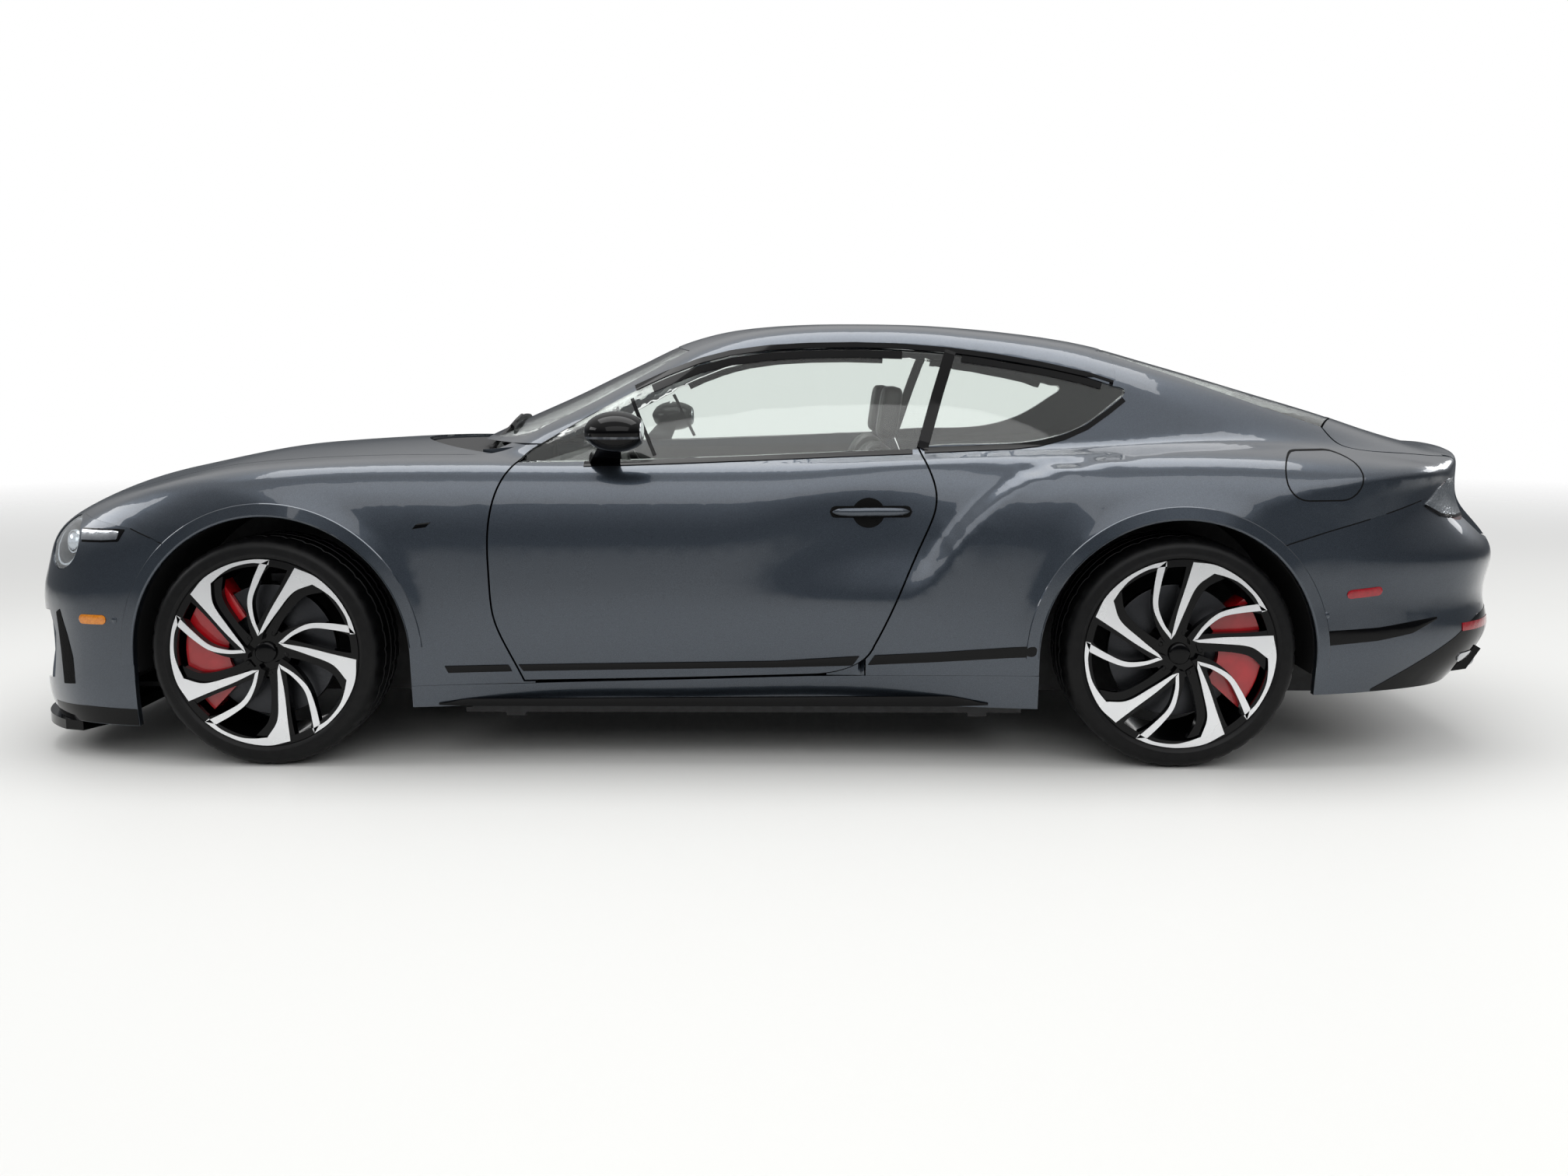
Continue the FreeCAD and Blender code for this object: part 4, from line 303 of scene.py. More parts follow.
class Shell:
    """Points and faces gathered for one piece."""

    def __init__(self):
        self.points = []
        self.faces = []

    def grid(self, rows, closed_rows=False, closed_columns=False):
        """A sheet of quads through rows of points, each row as long as the others."""
        start = len(self.points)
        wide = len(rows[0])
        for row in rows:
            self.points += [Vector(p) for p in row]
        for i in range(len(rows) - (0 if closed_rows else 1)):
            near, far = start + i * wide, start + ((i + 1) % len(rows)) * wide
            for j in range(wide - (0 if closed_columns else 1)):
                after = (j + 1) % wide
                self.faces.append((near + j, near + after, far + after, far + j))

    def cap(self, ring):
        """A flat face across a ring of points."""
        start = len(self.points)
        self.points += [Vector(p) for p in ring]
        self.faces.append(tuple(range(start, start + len(ring))))

    def loft(self, rings, closed_rings=True):
        """A body through rings of points, capped at both ends."""
        self.grid(rings, closed_columns=closed_rings)
        self.cap(rings[0])
        self.cap(rings[-1])

    def turned(self, middle, axis, profile, steps=48):
        """Body of revolution: profile is (distance along the axis, radius)."""
        axis = Vector(axis).normalized()
        first = axis.orthogonal().normalized()
        second = axis.cross(first)
        rows = []
        for way, radius in profile:
            centre = Vector(middle) + axis * way
            rows.append([centre + (first * math.cos(a) + second * math.sin(a)) * radius
                         for a in whole_turn(steps)])
        self.grid(rows, closed_columns=True)

    def sheet(self, outer, inner, back=False, ends=True):
        """An outer sheet with its edges carried in to an inner one."""
        if len(outer) < 2:
            return
        self.grid(outer)
        if back:
            self.grid(inner)
        for edge in (0, -1):
            self.grid([[row[edge] for row in outer], [row[edge] for row in inner]])
        if ends:
            for end in (0, -1):
                self.grid([outer[end], inner[end]])

    def laid(self, rows, proud, sink=0.002, ends=True):
        """A sheet raised over rows of (point, normal); rows with a miss are left out."""
        rows = [row for row in rows if None not in row]
        outer, inner = [], []
        for row in rows:
            lifts = proud if isinstance(proud, list) else [proud] * len(row)
            outer.append([hit + normal * lift for (hit, normal), lift in zip(row, lifts)])
            inner.append([hit - normal * sink for hit, normal in row])
        self.sheet(outer, inner, ends=ends)

    def mirrored(self):
        other = Shell()
        other.points = [Vector((p.x, -p.y, p.z)) for p in self.points]
        other.faces = [tuple(reversed(f)) for f in self.faces]
        return other

    def both(self):
        """This shell and its mirror image on the car's right."""
        other = self.mirrored()
        shift = len(self.points)
        self.points += other.points
        self.faces += [tuple(i + shift for i in f) for f in other.faces]
        return self

    def piece(self, name, material, body="body", smooth=True, slot=None):
        mesh = bpy.data.meshes.new(name)
        mesh.from_pydata([tuple(p) for p in self.points], [], self.faces)
        builder = bmesh.new()
        builder.from_mesh(mesh)
        bmesh.ops.remove_doubles(builder, verts=builder.verts, dist=1e-6)
        bmesh.ops.recalc_face_normals(builder, faces=builder.faces)
        builder.to_mesh(mesh)
        builder.free()
        mesh.materials.append(material)
        piece = bpy.data.objects.new(name, mesh)
        bpy.context.collection.objects.link(piece)
        if smooth:
            for face in mesh.polygons:
                face.use_smooth = True
            mesh.set_sharp_from_angle(angle=math.radians(35))
        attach(piece, body)
        return piece

    def pair(self, name, material, slot=None):
        """This shell on the left door and its mirror image on the right one."""
        self.piece(name + "_l", material, "left_door", slot=slot)
        self.mirrored().piece(name + "_r", material, "right_door", slot=slot)


SKINS = {}


def skin(*names):
    """Search tree over CAD nodes, for laying pieces on them."""
    if names not in SKINS:
        points, faces = [], []
        for name in names:
            mesh = nodes[name].data
            shift = len(points)
            points += [v.co.copy() for v in mesh.vertices]
            faces += [tuple(i + shift for i in p.vertices) for p in mesh.polygons]
        SKINS[names] = BVHTree.FromPolygons(points, faces)
    return SKINS[names]


def met(tree, start, way, reach=20.0):
    """Point where a ray meets the skin and the normal that faces back along it, or None."""
    way = Vector(way)
    hit, normal, _, _ = tree.ray_cast(Vector(start), way, reach)
    if hit is None:
        return None
    return hit, normal if normal.dot(way) < 0 else -normal


def on_side(tree, x, z):
    return met(tree, (x, BESIDE, z), (0, 1, 0))


def on_top(tree, x, y):
    return met(tree, (x, y, ABOVE), (0, 0, -1))


def on_nose(tree, y, z):
    return met(tree, (AHEAD, y, z), (1, 0, 0))


def metres(line):
    return [(x * MM, z * MM) for x, z in line]


def shifted(line, down, back=0.0):
    return [(x + back, z - down) for x, z in line]


def height_on(line, station):
    """Height of a line of (station, height) at this station."""
    if station <= line[0][0]:
        return line[0][1]
    for (x0, z0), (x1, z1) in zip(line, line[1:]):
        if station <= x1:
            return z0 + (z1 - z0) * (station - x0) / (x1 - x0)
    return line[-1][1]


def portion(line, start, end, count=24):
    """The part of a line between two stations."""
    return [(x, height_on(line, x)) for x in spread(start, end, count) if line[0][0] <= x <= line[-1][0]]


def resample(line, count):
    """Evenly spaced points along a polyline."""
    line = [Vector(p) for p in line]
    spans = [(b - a).length for a, b in zip(line, line[1:])]
    total = sum(spans)
    result = []
    for k in range(count):
        way = total * k / (count - 1)
        i = 0
        while i < len(spans) - 1 and way > spans[i]:
            way -= spans[i]
            i += 1
        share = way / spans[i] if spans[i] else 0.0
        result.append(line[i].lerp(line[i + 1], min(share, 1.0)))
    return result


def on_stations(line, count):
    """A line of (station, height), resampled, in the frame's own X."""
    return resample([(along(x), z) for x, z in line], count)


def rounded_off(lower, upper):
    """Draws the two lines of a strip together towards its ends, as half circles."""
    pairs = []
    for a, b in zip(lower, upper):
        half = (b - a).length / 2
        near = min((a - lower[0]).length, (a - lower[-1]).length)
        share = math.sqrt(max(1.0 - (1.0 - min(near / half, 1.0)) ** 2, 0.0004))
        middle = (a + b) / 2
        pairs.append((middle + (a - middle) * share, middle + (b - middle) * share))
    return zip(*pairs)


def side_strip(shell, tree, low, high, proud, count=40, across=4, round_ends=False):
    """Raised strip on the left side between two lines of (station, height)."""
    lower, upper = on_stations(low, count), on_stations(high, count)
    if round_ends:
        lower, upper = rounded_off(lower, upper)
    shares = spread(0, 1, across + 1)
    lifts = [proud * (1.0 - 0.25 * abs(2 * share - 1) ** 3) for share in shares]
    spots = [[a.lerp(b, share) for share in shares] for a, b in zip(lower, upper)]
    shell.laid([[on_side(tree, spot.x, spot.y) for spot in row] for row in spots], lifts, 0.003)


def ribbon(shell, tree, line, width, proud, count=40):
    """Narrow strip of even width that follows a line of (station, height) on the left side."""
    spots = on_stations(line, count)
    rows = []
    for k, spot in enumerate(spots):
        heading = (spots[min(k + 1, count - 1)] - spots[max(k - 1, 0)]).normalized()
        aside = Vector((-heading.y, heading.x)) * (width / 2)
        rows.append([on_side(tree, *(spot + aside * w)) for w in (-1, 0, 1)])
    shell.laid(rows, proud)


# Floor and soft light
LAMPS = (("overhead_light", (0.0, 0.0, 5.2), (0, 0, 0), 7.0, 3.0, 210.0),
         ("near_light", (1.0, -6.8, 4.8), (0, 0, 0.6), 11.0, 4.5, 230.0),
         ("front_light", (-7.0, -1.0, 3.4), (-1, 0, 0.5), 4.0, 1.6, 80.0),
         ("rear_light", (7.0, 2.5, 3.4), (1, 0, 0.5), 4.0, 1.6, 80.0))
FLOOR_REACH = 40.0


def make_floor():
    mesh = bpy.data.meshes.new("studio_floor")
    corners = [(a * FLOOR_REACH, b * FLOOR_REACH, 0) for a, b in ((-1, -1), (1, -1), (1, 1), (-1, 1))]
    mesh.from_pydata(corners, [], [(0, 1, 2, 3)])
    floor = bpy.data.objects.new("studio_floor", mesh)
    bpy.context.collection.objects.link(floor)
    material = finish("pale_floor", None, "D6D6D4", 0.5)
    tree = material.node_tree
    # The floor melts into the pale backdrop between 5 and 15 metres from the car's middle
    reach = add(tree, "ShaderNodeVectorMath", {"operation": "LENGTH"}, {0: object_place(tree)})
    share = add(tree, "ShaderNodeMapRange", {"From Min": 5.0, "From Max": 15.0},
                {"Value": reach.outputs["Value"]}).outputs[0]
    clear = add(tree, "ShaderNodeBsdfTransparent")
    melt = add(tree, "ShaderNodeMixShader", None,
               {0: share, 1: tree.nodes["Principled BSDF"].outputs[0], 2: clear.outputs[0]})
    tree.links.new(tree.nodes["Material Output"].inputs["Surface"], melt.outputs[0])
    mesh.materials.append(material)


def make_sky():
    world = bpy.data.worlds.new("studio")
    bpy.context.scene.world = world
    world.use_nodes = True
    tree = world.node_tree
    room = tree.nodes["Background"]
    # Bright above, darker towards the horizon, as a studio with a lit ceiling
    way = add(tree, "ShaderNodeSeparateXYZ", None, {0: add(tree, "ShaderNodeTexCoord").outputs["Generated"]})
    sky = blend_between(tree, way.outputs["Z"], ((0.05, "5C5F63"), (0.75, "FFFFFF")))
    tree.links.new(room.inputs["Color"], sky)
    room.inputs["Strength"].default_value = 0.95
    white = add(tree, "ShaderNodeBackground", {"Color": linear("FFFFFF"), "Strength": 1.0})
    path = add(tree, "ShaderNodeLightPath")
    seen = add(tree, "ShaderNodeMath", {"operation": "MAXIMUM"},
               {0: path.outputs["Is Camera Ray"], 1: path.outputs["Is Transmission Ray"]})
    mix = add(tree, "ShaderNodeMixShader", None,
              {0: seen.outputs[0], 1: room.outputs[0], 2: white.outputs[0]})
    tree.links.new(tree.nodes["World Output"].inputs["Surface"], mix.outputs[0])


def hang_lamps():
    for name, place, aim, width, depth, power in LAMPS:
        data = bpy.data.lights.new(name, "AREA")
        data.shape = "RECTANGLE"
        data.size = width
        data.size_y = depth
        data.energy = power
        lamp = bpy.data.objects.new(name, data)
        bpy.context.collection.objects.link(lamp)
        lamp.location = place
        lamp.rotation_euler = (Vector(aim) - Vector(place)).to_track_quat("-Z", "Y").to_euler()


make_floor()
make_sky()
hang_lamps()
bpy.context.scene.view_settings.view_transform = "Standard"

# Wheels: (body, X and Y of the middle, tyre width, degrees of the first spoke's tip)
CORNERS = {"fl": ("front_left_wheel", FRONT_AXLE, -0.8325, 0.275, 68.0),
           "fr": ("front_right_wheel", FRONT_AXLE, 0.8325, 0.275, 68.0),
           "rl": ("rear_left_wheel", REAR_AXLE, -0.8175, 0.305, 84.0),
           "rr": ("rear_right_wheel", REAR_AXLE, 0.8175, 0.305, 84.0)}
RIM_FACE_INSET = 0.008
SILVER_RADIUS = 0.300
RIM_RADIUS = 0.296
BOLT_CIRCLE = 0.066
SPOKES = 5
# Machined faces of one fifth of the wheel, each between two lines of (share of its radius, degrees from
# the broad tip): straight spoke, arc of the rim, curved spoke
MACHINED = (([(0.19, 39.0), (0.45, 11.5), (0.72, 3.2), (0.965, 0.0)],
             [(0.225, 22.0), (0.45, 2.5), (0.72, -5.5), (0.90, -14.5)]),
            ([(0.965, 0.0), (0.985, -14.0), (0.985, -30.0), (0.985, -45.0), (0.985, -56.0)],
             [(0.90, -14.5), (0.925, -24.0), (0.945, -33.0), (0.95, -45.0), (0.93, -55.5)]),
            ([(0.19, 39.0), (0.38, 41.0), (0.57, 37.0), (0.75, 29.0), (0.93, 22.5)],
             [(0.235, 32.0), (0.38, 35.0), (0.57, 31.5), (0.75, 23.5), (0.985, 16.0)]))
# Black flank of the straight spoke, deeper in the wheel
SPOKE_FLANK = ([(0.20, 20.0), (0.45, 3.0), (0.72, -5.0), (0.90, -14.0)],
               [(0.20, -8.0), (0.45, -9.0), (0.72, -14.0), (0.90, -23.0)])


def on_wheel(corner, radius, way, out):
    """Place on a wheel, by the way in degrees seen from outside and the distance out from its middle."""
    _, x, y, _, _ = CORNERS[corner]
    angle = math.radians(way)
    return Vector((x + radius * math.cos(angle), y + math.copysign(out, y),
                   TYRE_RADIUS + radius * math.sin(angle)))


def smooth_line(points, count=24):
    """Smooth curve through (radius share, degrees) points, drawn in the wheel's plane."""
    flat = [Vector((r * math.cos(math.radians(a)), r * math.sin(math.radians(a)))) for r, a in points]
    flat = [flat[0] * 2 - flat[1]] + flat + [flat[-1] * 2 - flat[-2]]
    line = []
    spans = len(flat) - 3
    for k in range(count):
        way = spans * k / (count - 1)
        i = min(int(way), spans - 1)
        t = way - i
        p0, p1, p2, p3 = flat[i:i + 4]
        line.append(0.5 * (p1 * 2 + (p2 - p0) * t + (p0 * 2 - p1 * 5 + p2 * 4 - p3) * t * t
                           + (p1 * 3 - p0 - p2 * 3 + p3) * t ** 3))
    return [(v.length, math.degrees(math.atan2(v.y, v.x))) for v in line]


def plate(shell, corner, tip, lines, front, depth):
    """Flat-faced strip on a wheel between two lines, turned to this tip."""
    lines = [[(r * SILVER_RADIUS, a + tip) for r, a in smooth_line(line)] for line in lines]
    face, back = [[[on_wheel(corner, r, a, out) for r, a in line] for line in lines]
                  for out in (front, front - depth)]
    shell.grid(face)
    for near, far in zip(face, back):
        shell.grid([near, far])
    for end in (0, -1):
        shell.cap([face[0][end], face[1][end], back[1][end], back[0][end]])


def dress_wheel(corner):
    body, x, y, width, first = CORNERS[corner]
    face = width / 2 - RIM_FACE_INSET
    front, skim = face + 0.0008, 0.002
    axis = (0, math.copysign(1.0, y), 0)
    middle = (x, y, TYRE_RADIUS)
    bright, dark, cap, bolts, disc = Shell(), Shell(), Shell(), Shell(), Shell()
    for k in range(SPOKES):
        tip = first + 360 / SPOKES * k
        for lines in MACHINED:
            plate(bright, corner, tip, lines, front, skim)
            plate(dark, corner, tip, lines, front - skim, 0.030)
        plate(dark, corner, tip, SPOKE_FLANK, face - 0.014, 0.026)
        place = on_wheel(corner, BOLT_CIRCLE, tip - 3, 0.0)
        bolts.turned(place, axis, [(face + way, radius) for way, radius in (
            (-0.024, 0.0115), (-0.0225, 0.0115), (-0.0225, 0.0085), (-0.0145, 0.0082), (-0.013, 0.006),
            (-0.013, 0.0001))], 6)
    cap.turned(middle, axis, [(face + way, radius) for way, radius in (
        (-0.024, 0.034), (-0.012, 0.0335), (-0.0095, 0.031), (-0.0085, 0.026), (-0.0075, 0.012),
        (-0.0073, 0.0001))], 40)
    disc.turned(middle, axis, [(0.0622, 0.095), (0.0628, 0.097), (0.0628, 0.206), (0.0622, 0.2075)], 96)
    bright.piece("machined_faces_" + corner, turned_face, body)
    dark.piece("spoke_sides_" + corner, wheel_black, body)
    cap.piece("hub_cap_" + corner, black_gloss, body)
    bolts.piece("wheel_bolts_" + corner, wheel_black, body, smooth=False)
    disc.piece("disc_face_" + corner, turned_iron, body)


def make_tyre(corner):
    """Low-profile tyre: bead, flank with rim guard, shoulder blocks and three long grooves."""
    body, x, y, width, _ = CORNERS[corner]
    half = width / 2
    rim = RIM_RADIUS + 0.0005
    bead = [(half - 0.010, rim), (half - 0.004, rim + 0.006), (half - 0.0005, rim + 0.014),
            (half - 0.0025, rim + 0.022), (half - 0.0015, rim + 0.034), (half - 0.005, rim + 0.045),
            (half - 0.0125, 0.3500), (half - 0.021, 0.3560), (half - 0.030, 0.3597)]
    depth = 0.0065
    tread = []
    for share in (0.52, 0.0, -0.52):
        centre = share * (half - 0.030)
        top = TYRE_RADIUS - 0.0012 * abs(share)
        tread += [(centre + 0.0065, top), (centre + 0.0045, TYRE_RADIUS - depth),
                  (centre - 0.0045, TYRE_RADIUS - depth), (centre - 0.0065, top)]
    profile = bead + tread + [(-w, r) for w, r in reversed(bead)]
    profile += [(-half + 0.012, rim - 0.0005), (half - 0.012, rim - 0.0005)]
    rows = []
    for w, r in profile:
        ring = []
        for k, angle in enumerate(whole_turn(180)):
            # Every fifth step is cut down: cross grooves in the outer ribs and over the shoulder
            radius = r
            if r > 0.354 and (half - 0.032) > abs(w) > 0.45 * (half - 0.03) and k % 5 == 0:
                radius = r - 0.004
            if 0.350 < r < 0.361 and k % 5 == 0:
                radius = r - 0.0035
            ring.append((x + radius * math.cos(angle), y + math.copysign(1.0, y) * w,
                         TYRE_RADIUS + radius * math.sin(angle)))
        rows.append(ring)
    shell = Shell()
    shell.grid(rows, closed_rows=True, closed_columns=True)
    tyre = shell.piece("moulded_tyre_" + corner, rubber, body)
    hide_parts("tyre_" + corner)


for corner in CORNERS:
    dress_wheel(corner)
    make_tyre(corner)

FLANK = skin("wings", "quarters", "door_l", "sills", "front_bumper", "rear_bumper")


# Strips, lines and markers along the left side, each with its twin on the right
def with_twin(shell, name, material, doors, slot=None):
    if doors:
        shell.pair(name, material, slot)
    else:
        shell.both().piece(name, material, slot=slot)


def side_piece(name, low, high, proud, material, tree=FLANK, doors=False, slot=None, **size):
    shell = Shell()
    side_strip(shell, tree, low, high, proud, **size)
    with_twin(shell, name, material, doors, slot)


def line_piece(name, line, width, proud, material, tree, doors=False, count=40):
    shell = Shell()
    ribbon(shell, tree, line, width, proud, count)
    with_twin(shell, name, material, doors)


MOULDING_TOP = metres([(561, 321), (878, 324), (1606, 335), (1847, 351), (2088, 366), (2417, 393)])
MOULDING_LOW = metres([(572, 299), (878, 303), (1606, 314), (1847, 321), (2088, 335), (2418, 359)])
side_piece("door_moulding", portion(MOULDING_LOW, 0.806, 1.862), portion(MOULDING_TOP, 0.792, 1.884), 0.004,
           black_gloss, skin("door_l"), doors=True, count=90)
side_piece("sill_moulding_front", portion(MOULDING_LOW, 0.573, 0.770), portion(MOULDING_TOP, 0.563, 0.760),
           0.004, black_gloss)
side_piece("sill_moulding_rear", portion(MOULDING_LOW, 1.878, 2.416), portion(MOULDING_TOP, 1.898, 2.416),
           0.004, black_gloss, skin("quarters", "sills"), count=60)
BLADE_TOP = [(0.538, 0.201), (0.723, 0.226), (1.116, 0.244), (1.605, 0.250), (2.044, 0.241), (2.263, 0.204)]
side_piece("sill_blade", [(x, 0.182 if 0.6 < x < 2.2 else z - 0.006) for x, z in BLADE_TOP], BLADE_TOP, 0.006,
           black_gloss, count=60)
side_piece("amber_marker", [(-0.613, 0.444), (-0.512, 0.446)], [(-0.613, 0.474), (-0.512, 0.476)], 0.003,
           amber_lens, round_ends=True)
side_piece("red_marker", [(3.362, 0.533), (3.478, 0.543)], [(3.362, 0.560), (3.478, 0.571)], 0.003, red_lens,
           round_ends=True)
side_piece("rear_strip", [(3.262, 0.386), (3.470, 0.400), (3.590, 0.418), (3.680, 0.456)],
           [(3.262, 0.433), (3.470, 0.441), (3.590, 0.455), (3.680, 0.464)], 0.003, black_gloss)
side_piece("wing_badge_blank", [(0.478, 0.752), (0.520, 0.758)], [(0.492, 0.768), (0.536, 0.774)], 0.002,
           black_gloss, count=8)
for name, station, z in (("front_sensor", -0.482, 0.462), ("rear_sensor", 3.300, 0.485)):
    place, facing = on_side(FLANK, along(station), z)
    dot = Shell()
    dot.turned(place, facing, [(-0.002, 0.0105), (0.0008, 0.0105), (0.0012, 0.0095), (0.0008, 0.0085),
                               (0.0016, 0.007), (0.0018, 0.0001)], 24)
    dot.both().piece(name, paint)

# Door handles: a bar over a cup whose recess is drawn as a flat dark patch of painted shade; the cup as
# (station, height, half length, half height)
CUP_STATION, CUP_HEIGHT, CUP_LONG, CUP_HIGH = 1.886, 0.799, 0.051, 0.047
HANDLE_BAR = (1.774, 2.013, 0.803)
# Dark band behind the bar, a little larger than it, as (first station, last station, low, high): painted
# shade round the bar
HANDLE_SHADE_BAND = (1.766, 2.021, 0.785, 0.821)


def make_handle():
    door = skin("door_l")
    cup, bar = Shell(), Shell()
    rows = []
    for share in spread(-1, 1, 21):
        half = CUP_HIGH * math.sqrt(max(1 - share * share, 0.001))
        rows.append([on_side(door, along(CUP_STATION + CUP_LONG * share), CUP_HEIGHT + half * up)
                     for up in spread(-1, 1, 7)])
    # Flat dark patch over the cup: painted shade of its recess
    cup.laid(rows, 0.0012, 0.001, ends=False)
    cup.pair("handle_cup_shade", black_duct_and_painted_shade)
    arc = [(CUP_STATION + CUP_LONG * math.cos(a), CUP_HEIGHT + CUP_HIGH * math.sin(a))
           for a in spread(math.radians(200), math.radians(340), 25)]
    line_piece("handle_cup_lip", arc, 0.0030, 0.0026, paint, door, doors=True)
    # Dark band behind the bar: painted shade round it
    first, last, low, high = HANDLE_SHADE_BAND
    side_piece("handle_shade_band", [(first, low), (last, low)], [(first, high), (last, high)], 0.0016, black_duct_and_painted_shade,
               door, doors=True, round_ends=True)
    first, last, height = HANDLE_BAR
    rings = []
    for share in spread(0, 1, 25):
        hit, normal = on_side(door, along(first + (last - first) * share), height)
        lift = 0.026 * math.sin(math.pi * share) ** 0.55 - 0.002
        half = 0.0125 * max(1 - (2 * share - 1) ** 6, 0.05) ** 0.5
        rings.append([hit + normal * (lift + 0.0065 * math.cos(a)) + UP * (half * math.sin(a))
                      for a in whole_turn(12)])
    bar.loft(rings)
    bar.pair("door_handle", paint)


make_handle()

# Window outlines as in the part's source: (station, height)
BELT = metres([(2048, 996), (1850, 989), (1604, 979), (1210, 965), (1000, 960)])
WINDOW_TOP = metres([(846, 1004), (947, 1064), (1049, 1121), (1150, 1174), (1251, 1220), (1352, 1258),
                     (1452, 1283), (1570, 1299), (1701, 1306), (1851, 1308), (2000, 1303), (2149, 1291),
                     (2299, 1271), (2448, 1245), (2598, 1212), (2680, 1185)])
WINDOW_HEEL = metres([(2706, 1152), (2651, 1112), (2580, 1066), (2508, 1036), (2420, 1015), (2338, 1007),
                      (2048, 996)])
# Station where the door's glass ends
GLASS_END = 2.10
TRIM = 0.016
SEAL = 0.024
# Glass stops this far under the line of the opening
GLASS_EDGE = 0.007

PILLAR = metres([(2156, 1296), (2110, 1160), (2058, 990)])
QUARTER_LIGHT = metres([(1132, 1160), (1217, 972)])

surround = Shell()
ribbon(surround, skin("roof", "wings", "quarters"), shifted(WINDOW_TOP, -TRIM / 2 - 0.001), TRIM, 0.0025, 90)
ribbon(surround, skin("quarters", "roof"), shifted(WINDOW_HEEL, TRIM / 2 + 0.002, 0.004), TRIM, 0.0025, 60)
surround.both().piece("window_surround", black_gloss)
side_piece("belt_moulding", shifted(BELT, TRIM + 0.004), shifted(BELT, 0.006), 0.003, black_gloss,
           skin("door_l"), doors=True, count=50)
# Black seals printed on the glass under the window line
line_piece("door_glass_seal", [(x, z - SEAL / 2 - GLASS_EDGE) for x, z in WINDOW_TOP if x < GLASS_END], SEAL,
           0.0015, black_gloss, skin("door_glass_l"), doors=True, count=70)
line_piece("quarter_glass_seal", [(x, z - SEAL / 2) for x, z in WINDOW_TOP if x > GLASS_END], SEAL, 0.0015,
           black_gloss, skin("quarter_glass"))
line_piece("pillar_cover", PILLAR, 0.036, 0.0045, black_gloss,
           skin("door_glass_l", "quarter_glass", "quarters", "door_l", "roof"))
line_piece("quarter_light_bar", QUARTER_LIGHT, 0.012, 0.0015, black_gloss, skin("door_glass_l"), doors=True,
           count=16)

# Sill corner behind the door's heel, up to the door's curved edge: stations, foot and greatest height
HEEL_FIRST, HEEL_LAST, HEEL_FOOT, HEEL_TOP = 1.640, 1.8755, 0.2885, 0.3390


def find_door_edge(x, low):
    """Lowest point of the door over the sill corner, with its height, or None."""
    edge = HEEL_FOOT
    while edge < 0.36:
        edge += 0.001
        high = on_side(skin("door_l"), x, edge)
        if high is not None and not (low is not None and abs(high[0].y - low[0].y) > 0.06):
            return high, edge
    return None, edge


def make_heel_panel():
    outer, inner = [], []
    for station in spread(HEEL_FIRST, HEEL_LAST, 25):
        x = along(station)
        low = None
        for drop in range(6):
            low = low or on_side(skin("sills"), x, HEEL_FOOT - 0.002 * drop)
        high, edge = find_door_edge(x, low)
        if low is None or high is None or edge < HEEL_FOOT + 0.008:
            continue
        reach = min(edge - 0.0035, HEEL_TOP)
        bottom = Vector((x, low[0].y, HEEL_FOOT))
        share = (reach - HEEL_FOOT) / (edge - HEEL_FOOT)
        top = Vector((x, low[0].y + (high[0].y - low[0].y) * share, reach))
        outer.append([bottom.lerp(top, share) for share in spread(0, 1, 5)])
        inner.append([spot + Vector((0, 0.003, 0)) for spot in outer[-1]])
    shell = Shell()
    shell.sheet(outer, inner, back=True)
    shell.both().piece("sill_heel_panel", paint)


make_heel_panel()


# Fuel flap: a closed shut line on the left quarter only
def rounded_frame(x0, x1, z0, z1, corner, count=6):
    points = []
    for cx, cz, start in ((x1 - corner, z1 - corner, 0), (x0 + corner, z1 - corner, 90),
                          (x0 + corner, z0 + corner, 180), (x1 - corner, z0 + corner, 270)):
        for k in range(count + 1):
            angle = math.radians(start + 90 * k / count)
            points.append((cx + corner * math.cos(angle), cz + corner * math.sin(angle)))
    return points + points[:1]


flap = Shell()
ribbon(flap, skin("quarters"), rounded_frame(3.160, 3.400, 0.838, 0.985, 0.068), 0.0045, 0.0006, 90)
flap.piece("fuel_flap_line", black_duct_and_painted_shade)

# Cover of the towing eye in the bumper: (Y, Z), just wider than the hole behind it
TOW_COVER = (0.430, 0.350)
TOW_BEYOND = 0.048


def make_tow_cover():
    y, z = TOW_COVER
    around = [on_nose(skin("front_bumper"), y + dy, z + dz)
              for dy, dz in ((TOW_BEYOND, 0), (-TOW_BEYOND, 0), (0, TOW_BEYOND), (0, -TOW_BEYOND))]
    middle = sum((hit for hit, _ in around), Vector()) / len(around)
    facing = sum((normal for _, normal in around), Vector()).normalized()
    cover = Shell()
    cover.turned(middle, facing, [(-0.006, 0.0352), (0.0, 0.0352), (0.0012, 0.034), (0.002, 0.018),
                                  (0.0022, 0.0001)], 40)
    cover.piece("towing_eye_cover", paint)


make_tow_cover()

# Mirrors: glass on the rear face and a bright strip round the housing
MIRROR_FACE = (1.1968, -1.0003, 1.052)
MIRROR_STRIP = (1.030, 1.192, 1.036)


